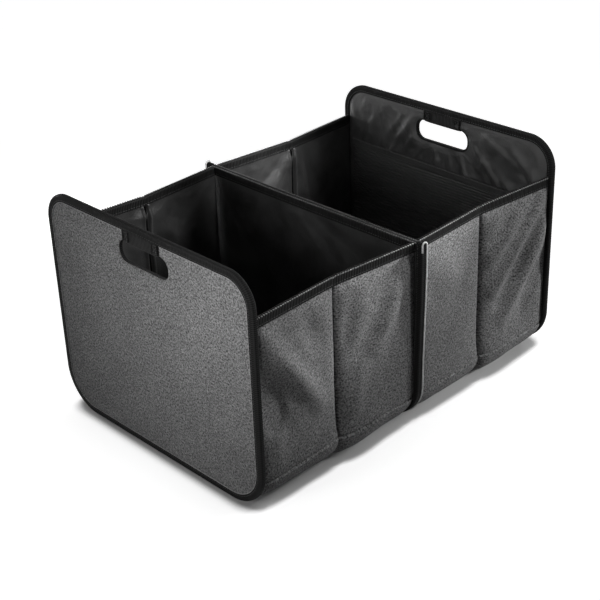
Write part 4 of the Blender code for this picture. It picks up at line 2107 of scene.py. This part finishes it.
        def level(share: float) -> Track:
            """Straight line over the wall's top edge at a share of its length."""
            reach = low + length * share
            y = face * (self.half_width(reach) - centre)
            return Vector((self.side * reach, y, plan.wall_top)), -ALONG_Z, ALONG_Y

        def rail(share: float) -> Track:
            """Top edge of the wall, drawn in by its stitches, at a share of its length."""
            reach = low + length * share
            off = (reach - plan.crease_x) / 0.0030
            notch = 0.0007 * math.exp(-(off * off))
            sunk = 0.0002 + pucker(share * length, 0.0003) + notch
            return level(share)[0] - ALONG_Z * sunk, -ALONG_Z, ALONG_Y

        piece.add_binding(section, rail, length, 300, self.looks.tape)
        depth = self.tape_leg - section.seam
        piece.add_tape_rows(level, length, depth, half - 0.0001, self.looks.thread)
        # The pale whipping on the outer fold partly paints the fold's highlight.
        piece.add_whipping(rail, length, face * (half - 0.0006))
        shadow_cord_top = self.tape_foot - 0.0004
        run = shadow_cord_top - self.foot(plan.crease_x) - 0.004
        inner = self.half_width(plan.crease_x) - plan.wall_thickness
        shadow_cord_depth = inner + self.shadow_cord_inside

        def crease(share: float) -> Track:
            """Black cord down the crease of the lining, a painted shadow of the fold, at a share
            of its height.
            """
            spot = Vector((self.side * plan.crease_x, face * shadow_cord_depth, shadow_cord_top - run * share))
            return spot, ALONG_X, ALONG_Y

        # A black cord down the lining's crease paints the fold's shadow.
        piece.add_cord(crease, run, self.shadow_cord, 60, self.looks.crease)
        tape = piece.done()
        nodes = [f"{self.wall_body(face_name, half)}_top_tape" for half in HALVES]
        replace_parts(tape, *nodes)
        self.bend(tape, face_name, face, 0.007)

    def base_halves(self) -> list[tuple[str, float, float, str, str]]:
        """Halves of the base as name, fixed end, crease end, body and joint."""
        crease = self.plan.crease_x
        return [
            ("inner", self.near, crease, "divider", f"{self.name}_front_wall_fold"),
            ("outer", self.far, crease, f"{self.name}_end", f"{self.name}_end_hinge"),
        ]

    def row_distance(self, share: float, arm: float, unrolled: float) -> float:
        """Distance round the base at a share, with rows drawn close at both hems.

        Args:
            share: Share of the way from front to rear.
            arm: Distance from the middle of the base to its upper edge.
            unrolled: Distance from the middle at which the height up the cloth is 0.

        Returns:
            The distance, negative at the front.
        """
        way = 1.0 if share > 0.5 else -1.0
        part = abs(2.0 * share - 1.0)
        hem = unrolled + self.hem_height
        stops = [
            (0.0, 0.0), (0.16, hem - 0.060), (0.42, hem - 0.009), (0.76, hem + 0.007), (1.0, arm)
        ]
        for (low, start), (high, end) in zip(stops, stops[1:]):
            if part <= high:
                return way * (start + (end - start) * (part - low) / (high - low))
        return way * arm

    def base_point(self, reach: float, share: float, lined: bool) -> Placed:
        """Point of the base cloth, from the front wall's foot under the box to the rear's.

        Args:
            reach: Distance from the box's middle.
            share: Share of the way from front to rear.
            lined: True for the black inner face.

        Returns:
            The point and its place on the flat cloth.
        """
        if lined:
            lift = self.base_lining_lift
            outline = self.outline(
                reach, self.plan.base_radius - lift, self.lining_depth, lift
            )
        else:
            outline = self.outline(reach, self.corner_radius(reach))
        corner_top = outline.low + outline.low_radius
        arm = outline.corner_end + self.foot(reach) - corner_top
        distance = self.row_distance(share, arm, outline.corner_end - corner_top)
        spot, out = outline.station(distance)
        face = -1 if distance < 0.0 else 1
        height = corner_top + abs(distance) - outline.corner_end
        if lined:
            wall = self.lining_place(face, reach, max(height, 0.0))
            lift = (outline.half_width - face * wall.y) * smooth(-0.02, 0.03, height)
            point = spot - out * lift
            point.z += self.floor_rise(reach, point.y, height)
        else:
            point = spot + out * self.outer_relief(face, reach, height)
        point.x = self.side * reach
        return point, (self.side * reach, distance)

    def floor_rise(self, reach: float, y: float, height: float) -> float:
        """How far the inner base cloth rises to the floor's level beside the boards."""
        plan = self.plan
        start = plan.hinge_x + self.gusset
        mirrored = 2.0 * plan.floor_fold_x - reach if reach > plan.floor_fold_x else reach
        edge = plan.floor_half_width - max(0.0, mirrored - start)
        beside = smooth(edge + 0.001, edge + 0.007, abs(y))
        low = smooth(0.004, -0.022, height)
        return (plan.floor_top - plan.base_lift - self.base_lining_lift) * beside * low

    def build_base(self) -> None:
        """Make the soft base in two halves, grey outside and black inside."""
        steps = (56, 190)
        for half, fixed, crease, body, joint in self.base_halves():
            for lined in (False, True):

                def place(share: float, across: float, lined=lined, a=fixed, b=crease) -> Placed:
                    """Place a point from its shares along the box and round the base."""
                    eased = 1.0 - (1.0 - share) ** 1.6
                    return self.base_point(a + (b - a) * eased, across, lined)

                kind = "lining" if lined else "fabric"
                piece = Piece(f"{self.name}_{half}_base_{kind}_cloth", self.looks)
                facing = Vector((0, 1 if lined else -1, 0))
                finish = self.looks.lining if lined else self.looks.melange
                piece.add_sheet(place, steps, facing, 0.0004, finish)
                if not lined:
                    self.stitch_hem(piece, fixed, crease)
                cloth = piece.done()
                if not lined:
                    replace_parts(cloth, f"{self.name}_{half}_base_fabric")
                arm = 2.0 * self.outline(fixed, self.plan.base_radius).corner_end
                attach(cloth, body)
                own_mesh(cloth)

    def stitch_hem(self, piece: Piece, fixed: float, crease: float) -> None:
        """Sew the hem line along the foot of both long walls.

        Args:
            piece: Half of the base.
            fixed: Where it is sewn in.
            crease: Where it meets the other half.
        """
        low, high = min(fixed, crease), max(fixed, crease)
        for face in (-1, 1):

            def seam(distance: float, face=face) -> Pair:
                """Place and outward direction along the hem."""
                reach = low + distance
                outline = self.outline(reach, self.corner_radius(reach))
                drop = outline.low + outline.low_radius - self.hem_height
                spot, out = outline.station(face * (outline.corner_end - drop))
                lift = self.outer_relief(face, reach, self.hem_height)
                point = spot + out * (lift + 0.0002)
                point.x = self.side * reach
                return point, out

            piece.add_stitches(seam, high - low, self.looks.thread, 0.0034)

    def build_floor(self) -> None:
        """Make the floor's lining in one piece, with a slight dip along the floor's fold."""
        plan = self.plan
        low, high = plan.hinge_x + 0.0006, 2.0 * plan.floor_fold_x - plan.hinge_x - 0.0006

        def place(share: float, across: float) -> Placed:
            """Place a point from its shares along and across the floor."""
            reach = low + (high - low) * share
            mirrored = min(reach, 2.0 * plan.floor_fold_x - reach)
            room = plan.floor_half_width - max(0.0, mirrored - plan.hinge_x - self.gusset)
            way = 2.0 * across - 1.0
            y = way * room
            edge = smooth(0.0, 0.05, 1.0 - abs(way))
            spot = Vector((self.side * reach, y, 0.0))
            off = (reach - plan.floor_fold_x) / 0.004
            lift = 0.0005 * swell(spot, 0.05, 61.0) + 0.0003 * swell(spot, 0.02, 67.0)
            lift = (lift + 0.0006) * edge - 0.0004 * math.exp(-off * off)
            return Vector((self.side * reach, y, plan.floor_top + lift)), (spot.x, y)

        piece = Piece(f"{self.name}_floor_lining_cloth", self.looks)
        piece.add_sheet(place, (90, 90), Vector((0, 0, 1)), 0.0006, self.looks.lining)
        for way in (-1, 1):

            def seam(distance: float, way=way) -> Pair:
                """Place and outward direction along the floor's edge."""
                share = distance / (high - low)
                point, _ = place(share, 0.5 + way * 0.47)
                return point + ALONG_Z * 0.0001, ALONG_Z

            piece.add_stitches(seam, high - low, self.looks.thread)
        floor = piece.done()
        nodes = [f"{self.name}_{half}_floor_lining" for half in HALVES]
        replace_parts(floor, *nodes)
        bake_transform(floor)

    def build(self) -> None:
        """Make every piece of the compartment."""
        for face_name, face in FACES:
            self.build_wall_cloth(face_name, face, False)
            self.build_wall_cloth(face_name, face, True)
            self.build_top_tape(face_name, face)
        self.build_base()
        self.build_floor()


@dataclass
class Divider:
    """Divider between the compartments, with the taped seam that holds it.

    Attributes:
        plan: Places of the box.
        looks: The finishes.
    """

    plan: BoxPlan
    looks: Wardrobe
    seam_radius: float = 0.055
    seam_leg: float = 0.010
    tape_leg: float = 0.0115
    half: float = 0.0022
    highlight_cord: float = 0.0010
    highlight_cord_out: float = 0.0003
    loop_cord: float = 0.0009
    loop_stem: float = 0.008
    cap_run: float = 0.0085
    low_proud: float = 0.0030
    mid_proud: float = 0.0072

    def folds(self, side: int) -> list[SoftFold]:
        """Folds of the divider's cloth on one face, as (y, z)."""
        if side > 0:
            return soft_folds([
                (-0.120, 0.200, -0.040, 0.120, 0.016, 0.0012),
                (0.060, 0.210, 0.110, 0.120, 0.016, 0.0012),
            ])
        return soft_folds([
            (0.145, 0.205, 0.085, 0.135, 0.011, 0.0018),
            (0.020, 0.218, -0.030, 0.170, 0.010, 0.0016),
            (-0.020, 0.222, -0.060, 0.200, 0.008, -0.0014),
            (-0.050, 0.200, -0.120, 0.090, 0.014, 0.0014),
        ])

    def build_cloth(self) -> None:
        """Make the sleeve of lining over the divider's board."""
        plan = self.plan
        inset = 0.0016
        outline = RoundedOutline(
            plan.wall_face + 0.0045, inset, plan.wall_top, self.seam_radius - 0.007, 0.0
        )
        top = plan.wall_top - 0.0014
        tape = plan.wall_top - self.tape_leg
        piece = Piece("divider_cloth", self.looks)
        for side in (-1, 1):

            def place(across: float, up: float, side=side) -> Placed:
                """Place a point from its shares across and up the divider."""
                z = inset + (top - inset) * up
                room = outline.half_width
                over = inset + outline.low_radius - z
                if over > 0.0:
                    bend = math.sqrt(max(0.0, outline.low_radius**2 - over**2))
                    room -= outline.low_radius - bend
                y = (2.0 * across - 1.0) * room
                spot = Vector((y, z, side * 2.0))
                lift = sum(fold.lift(y, z) for fold in self.folds(side))
                lift += 0.0007 * swell(spot, 0.05, 71.0) + 0.0003 * swell(spot, 0.02, 73.0)
                free = smooth(tape + 0.001, tape - 0.012, z) * smooth(0.0, 0.02, z - 0.010)
                free *= smooth(plan.wall_inner, plan.wall_inner - 0.015, abs(y))
                lift = max(-0.0004, lift + 0.0005) * free
                return Vector((side * (self.half + lift), y, z)), (y, z)

            facing = Vector((side, 0, 0))
            piece.add_sheet(place, (150, 96), facing, 0.0006, self.looks.lining)
        cloth = piece.done()
        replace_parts(cloth, "divider_cover")
        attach(cloth, "divider")

    def build_top_tape(self) -> None:
        """Make the tape over the divider's top edge."""
        plan = self.plan
        section = TapeSection(self.tape_leg, 0.0034, 0.0009, 0.0024)
        reach = plan.seam_face - self.seam_leg - 0.0004
        length = 2.0 * reach
        piece = Piece("divider_top_binding", self.looks)

        def rail(share: float) -> Track:
            """Top edge of the divider at a share of its length."""
            y = -reach + length * share
            sunk = 0.0001 + pucker(share * length, 0.0002) + 0.0006 * math.sin(math.pi * share)
            return Vector((0.0, y, plan.wall_top - sunk)), -ALONG_Z, ALONG_X

        piece.add_binding(section, rail, length, 380, self.looks.tape)
        depth = self.tape_leg - section.seam
        for way in (-1, 1):

            def seam(distance: float, way=way) -> Pair:
                """Place and outward direction along the row."""
                spot = Vector((way * 0.0033, distance - reach, plan.wall_top - depth))
                return spot, ALONG_X * way

            piece.add_stitches(seam, length, self.looks.thread)
            piece.add_whipping(rail, length, way * 0.0027, self.looks.twine)
        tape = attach(piece.done(), "divider")
        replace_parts(tape, "divider_top_tape")

    def proud(self, height: float) -> float:
        """How far the seam stands out of the walls at a height."""
        full = self.plan.seam_face - self.plan.wall_face
        upper = self.mid_proud + (full - self.mid_proud) * smooth(0.050, 0.215, height)
        return self.low_proud + (upper - self.low_proud) * smooth(0.008, 0.055, height)

    def seam_edge(self, distance: float) -> Pair:
        """Edge of the seam and its outward direction.

        Args:
            distance: Way round the base from the middle of its foot.

        Returns:
            The point and the direction.
        """
        plan = self.plan
        outline = RoundedOutline(
            plan.wall_face, plan.base_lift, plan.wall_top, plan.base_radius, 0.0
        )
        spot, out = outline.station(distance)
        return spot + out * self.proud(spot.z), out

    def build_seam(self) -> None:
        """Make the tape over the seam that stands proud of the walls, with its top loops and a
        pale cord on its +X fold that paints the fold's highlight.
        """
        plan = self.plan
        top = plan.wall_top - 0.0011
        section = TapeSection(self.seam_leg, plan.seam_half, 0.001, 0.0014, 0.0004)
        corner = math.pi / 2 * plan.base_radius
        arm = plan.wall_face - plan.base_radius + corner + top - plan.wall_foot
        length = 2.0 * arm
        piece = Piece("divider_seam_binding", self.looks)

        def rail(share: float) -> Track:
            """Edge of the seam at a share of its way from front top to rear top."""
            spot, out = self.seam_edge((2.0 * share - 1.0) * arm)
            return spot - out * (0.0003 + pucker(share * length, 0.00015)), -out, ALONG_X

        piece.add_binding(section, rail, length, 620, self.looks.tape)
        depth = self.seam_leg - section.seam
        piece.add_tape_rows(rail, length, depth, plan.seam_half - 0.0002, self.looks.thread)

        def highlight_line(share: float) -> Track:
            """Pale cord along the +X fold of the seam's tape, a painted highlight, at a share of
            its way.
            """
            spot, out = self.seam_edge((2.0 * share - 1.0) * arm)
            beside = ALONG_X * (plan.seam_half + self.highlight_cord_out)
            return spot - out * 0.0003 + beside, -out, ALONG_X

        # Only the +X fold, the lit one, gets the pale cord: a painted highlight.
        piece.add_cord(highlight_line, length, self.highlight_cord, 420, self.looks.highlight_cord)
        for face in (-1, 1):
            self.add_loop(piece, face, top)
        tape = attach(piece.done(), "divider")
        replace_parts(tape, "divider_seam_tape")

    def add_loop(self, piece: Piece, face: int, top: float) -> None:
        """Arch the pale cord of painted highlight over the seam's top end.

        Args:
            piece: The seam's tape.
            face: -1 at the front and 1 at the rear.
            top: Height of the tape's end.
        """
        plan = self.plan
        radius = plan.seam_half + self.highlight_cord_out
        y = face * (plan.seam_face - 0.0003)
        stem = self.loop_stem
        length = 2.0 * stem + math.pi * radius

        def rail(share: float) -> Track:
            """Centre of the cord at a share of the loop."""
            distance = share * length
            if distance < stem:
                return Vector((-radius, y, top - stem + distance)), ALONG_X, ALONG_Y
            if distance > length - stem:
                return Vector((radius, y, top - stem + length - distance)), -ALONG_X, ALONG_Y
            turn = (distance - stem) / radius
            out = Vector((-math.cos(turn), 0.0, math.sin(turn)))
            return Vector((0.0, y, top)) + out * radius, -out, ALONG_Y

        piece.add_cord(rail, length, self.loop_cord, 28, self.looks.highlight_cord)

        def cap(share: float) -> Track:
            """Middle of the tape's rounded end at a share of its depth."""
            spot = Vector((0.0, y - face * (0.0005 + self.cap_run * share), top - 0.0004))
            return spot, ALONG_X, ALONG_Z

        piece.add_cord(cap, self.cap_run, plan.seam_half - 0.0004, 8, self.looks.tape)

    def build(self) -> None:
        """Make every piece of the divider."""
        self.build_cloth()
        self.build_top_tape()
        self.build_seam()


@dataclass(frozen=True)
class Lamp:
    """Soft studio lamp.

    Attributes:
        name: Name of the lamp.
        place: Where it hangs.
        aim: Point that it looks at.
        radius: Radius of its glowing part.
        cone: Angle of its cone.
        power: Its power in watts.
    """

    name: str
    place: Three
    aim: Three
    radius: float
    cone: float
    power: float


@dataclass(frozen=True)
class Studio:
    """White studio: floor, soft lamps and the photograph's viewpoint.

    Attributes:
        azimuth: Way round the box from its front that the camera looks from.
        elevation: Height of the camera's line above the horizon.
        roll: Turn of the camera about its line.
        place: Where the camera stands.
        lens: Focal length in millimetres on a square 36 mm frame.
        shadow_reach: How far the tight shadow under the box reaches.
        shadow_span: Openness at which that shadow is full, and at which it is gone.
        shadow_depth: Brightness of the floor in it.
        shade_reach: How far the wide, faint shade reaches.
        shade_span: Openness at which that shade is full, and at which it is gone.
        shade_depth: Brightness of the floor in it.
        shade_side: Direction that the wide shade is judged in, away from the box's shaded side.
        world_level: Strength of the world's light on the box.
    """

    azimuth: float = -43.2
    elevation: float = 27.8
    roll: float = -2.2
    place: Three = (-1.0069, -1.0511, 0.8714)
    lens: float = 79.9
    shadow_reach: float = 0.018
    shadow_span: Flat = (0.64, 0.96)
    shadow_depth: float = 0.02
    shade_reach: float = 0.15
    shade_span: Flat = (0.50, 0.94)
    shade_depth: float = 0.76
    shade_side: Three = (0.80, -0.30, 0.52)
    world_level: float = 0.01
    lamps: tuple[Lamp, ...] = (
        Lamp("wall_key_lamp", (0.45, -0.75, 0.80), (0.06, -0.17, 0.36), 0.12, 40.0, 26.0),
        Lamp("low_right_lamp", (1.20, -0.80, 0.50), (0.24, -0.17, 0.10), 0.10, 16.0, 90.0),
        Lamp("grazing_lamp", (0.90, -0.45, 0.70), (-0.05, -0.17, 0.32), 0.08, 24.0, 69.0),
        Lamp("seam_lamp", (0.80, -0.48, 0.70), (0.05, -0.17, 0.245), 0.04, 11.0, 56.0),
        Lamp("end_fill_lamp", (-1.30, 0.10, 0.50), (-0.25, 0.00, 0.22), 0.20, 40.0, 29.0),
        Lamp("end_key_lamp", (-1.30, -0.25, 0.42), (-0.25, -0.12, 0.25), 0.15, 28.0, 30.0),
        Lamp("end_corner_lamp", (-0.85, -0.45, 0.56), (-0.25, -0.165, 0.28), 0.05, 20.0, 9.0),
        Lamp("rear_right_lamp", (0.05, -0.80, 0.85), (0.070, 0.165, 0.225), 0.04, 9.5, 200.0),
        Lamp("rear_left_lamp", (-0.03, -0.80, 0.85), (-0.150, 0.165, 0.222), 0.04, 9.0, 80.0),
        Lamp("rear_wall_lamp", (-0.15, 1.35, 0.20), (-0.04, 0.18, 0.11), 0.20, 42.0, 58.0),
        Lamp("right_end_lamp", (1.50, 0.35, 0.40), (0.25, 0.02, 0.14), 0.20, 34.0, 62.0),
        Lamp("far_end_lamp", (-0.90, -0.30, 1.00), (0.25, 0.00, 0.26), 0.10, 14.0, 15.0),
    )

    def add_camera(self) -> None:
        """Set the camera where the photograph was taken from."""
        turn, rise = math.radians(self.azimuth), math.radians(self.elevation)
        back = Vector(
            (math.sin(turn) * math.cos(rise), -math.cos(turn) * math.cos(rise), math.sin(rise))
        )
        level = Vector((math.cos(turn), math.sin(turn), 0.0))
        upright = back.cross(level)
        lean = math.radians(self.roll)
        right = level * math.cos(lean) + upright * math.sin(lean)
        up = upright * math.cos(lean) - level * math.sin(lean)
        data = bpy.data.cameras.new("camera")
        data.lens = self.lens
        data.sensor_width = 36.0
        data.clip_start, data.clip_end = 0.01, 50.0
        camera = bpy.data.objects.new("camera", data)
        matrix = Matrix((right, up, back)).transposed().to_4x4()
        camera.matrix_world = Matrix.Translation(self.place) @ matrix
        bpy.context.scene.collection.objects.link(camera)
        bpy.context.scene.camera = camera

    def add_lamp(self, lamp: Lamp) -> None:
        """Hang a soft spot lamp.

        Args:
            lamp: What it is like.
        """
        data = bpy.data.lights.new(lamp.name, "SPOT")
        data.shadow_soft_size = lamp.radius
        data.energy = lamp.power
        data.spot_size = math.radians(lamp.cone)
        data.spot_blend = 1.0
        item = bpy.data.objects.new(lamp.name, data)
        line = Vector(lamp.aim) - Vector(lamp.place)
        item.location = lamp.place
        item.rotation_euler = line.to_track_quat("-Z", "Y").to_euler()
        item.visible_camera = False
        bpy.context.scene.collection.objects.link(item)

    def add_world(self) -> None:
        """Give the world a soft level and a white backdrop."""
        world = bpy.data.worlds.new("studio")
        bpy.context.scene.world = world
        world.use_nodes = True
        nodes = Nodes(world.node_tree)
        shade = world.node_tree.nodes["Background"]
        strength = nodes.spread(nodes.seen(), 0.0, 1.0, self.world_level, 1.0)
        nodes.feed(shade.inputs["Strength"], strength)
        shade.inputs["Color"].default_value = (1.0, 1.0, 1.0, 1.0)

    def add_floor(self) -> None:
        """Lay a pale floor that fades to the white backdrop, with the box's shadow painted into
        its glow by ambient occlusion over the shadow that the lamps cast.
        """
        bm = bmesh.new()
        bmesh.ops.create_grid(bm, x_segments=4, y_segments=4, size=6.0)
        mesh = bpy.data.meshes.new("studio_floor")
        bm.to_mesh(mesh)
        bm.free()
        floor = bpy.data.objects.new("studio_floor", mesh)
        bpy.context.scene.collection.objects.link(floor)
        material = bpy.data.materials.new("pale_floor")
        material.use_nodes = True
        nodes = Nodes(material.node_tree)
        shader = material.node_tree.nodes["Principled BSDF"]
        shader.inputs["Roughness"].default_value = 0.9
        shader.inputs["Specular IOR Level"].default_value = 0.0
        shader.inputs["Emission Color"].default_value = (1.0, 1.0, 1.0, 1.0)
        seen = nodes.seen()
        # Painted shadow: ambient occlusion dims the floor's glow near the box.
        near = nodes.add("ShaderNodeAmbientOcclusion", samples=16)
        near.inputs["Distance"].default_value = self.shadow_reach
        painted_floor_shadow = nodes.spread(near.outputs["AO"], *self.shadow_span, self.shadow_depth, 1.0)
        wide = nodes.add("ShaderNodeAmbientOcclusion", samples=16)
        wide.inputs["Distance"].default_value = self.shade_reach
        wide.inputs["Normal"].default_value = self.shade_side
        soft = nodes.spread(wide.outputs["AO"], *self.shade_span, self.shade_depth, 1.0)
        painted_floor_shadow = nodes.math("MULTIPLY", painted_floor_shadow, soft)
        nodes.feed(shader.inputs["Emission Strength"], nodes.math("MULTIPLY", seen, painted_floor_shadow))
        lit = nodes.mix(seen, (0.40, 0.40, 0.40, 1.0), (0.55, 0.55, 0.55, 1.0))
        nodes.feed(shader.inputs["Base Color"], lit)
        mesh.materials.append(material)

    def build(self) -> None:
        """Set up the whole studio."""
        bpy.context.scene.view_settings.view_transform = "Standard"
        self.add_camera()
        self.add_world()
        self.add_floor()
        for lamp in self.lamps:
            self.add_lamp(lamp)


def dress_boards(frame: dict, looks: Wardrobe) -> None:
    """Give the boards inside the panels their finish.

    Args:
        looks: The finishes.
    """
    for name, node in frame["nodes"].items():
        if name.endswith("_board"):
            for slot in node.material_slots:
                slot.material = looks.board
            if not node.material_slots:
                node.data.materials.append(looks.board)


def corners(bounds: tuple[Vector, Vector]) -> list[list[float]]:
    """Two corners as plain lists."""
    return [[round(value, 6) for value in corner] for corner in bounds]


def main() -> None:
    """Dress the whole box and set up the studio."""
    logging.basicConfig(level=logging.INFO, format="%(relativeCreated)6.0f %(message)s")
    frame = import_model()
    Studio().build()
    plan = BoxPlan.read(frame)
    looks = Wardrobe()
    dress_boards(frame, looks)
    Divider(plan, looks).build()
    for name, side in SIDES:
        EndPanel(plan, looks, name, side).build()
        Compartment(plan, looks, name, side).build()


if __name__ == "__main__":
    main()
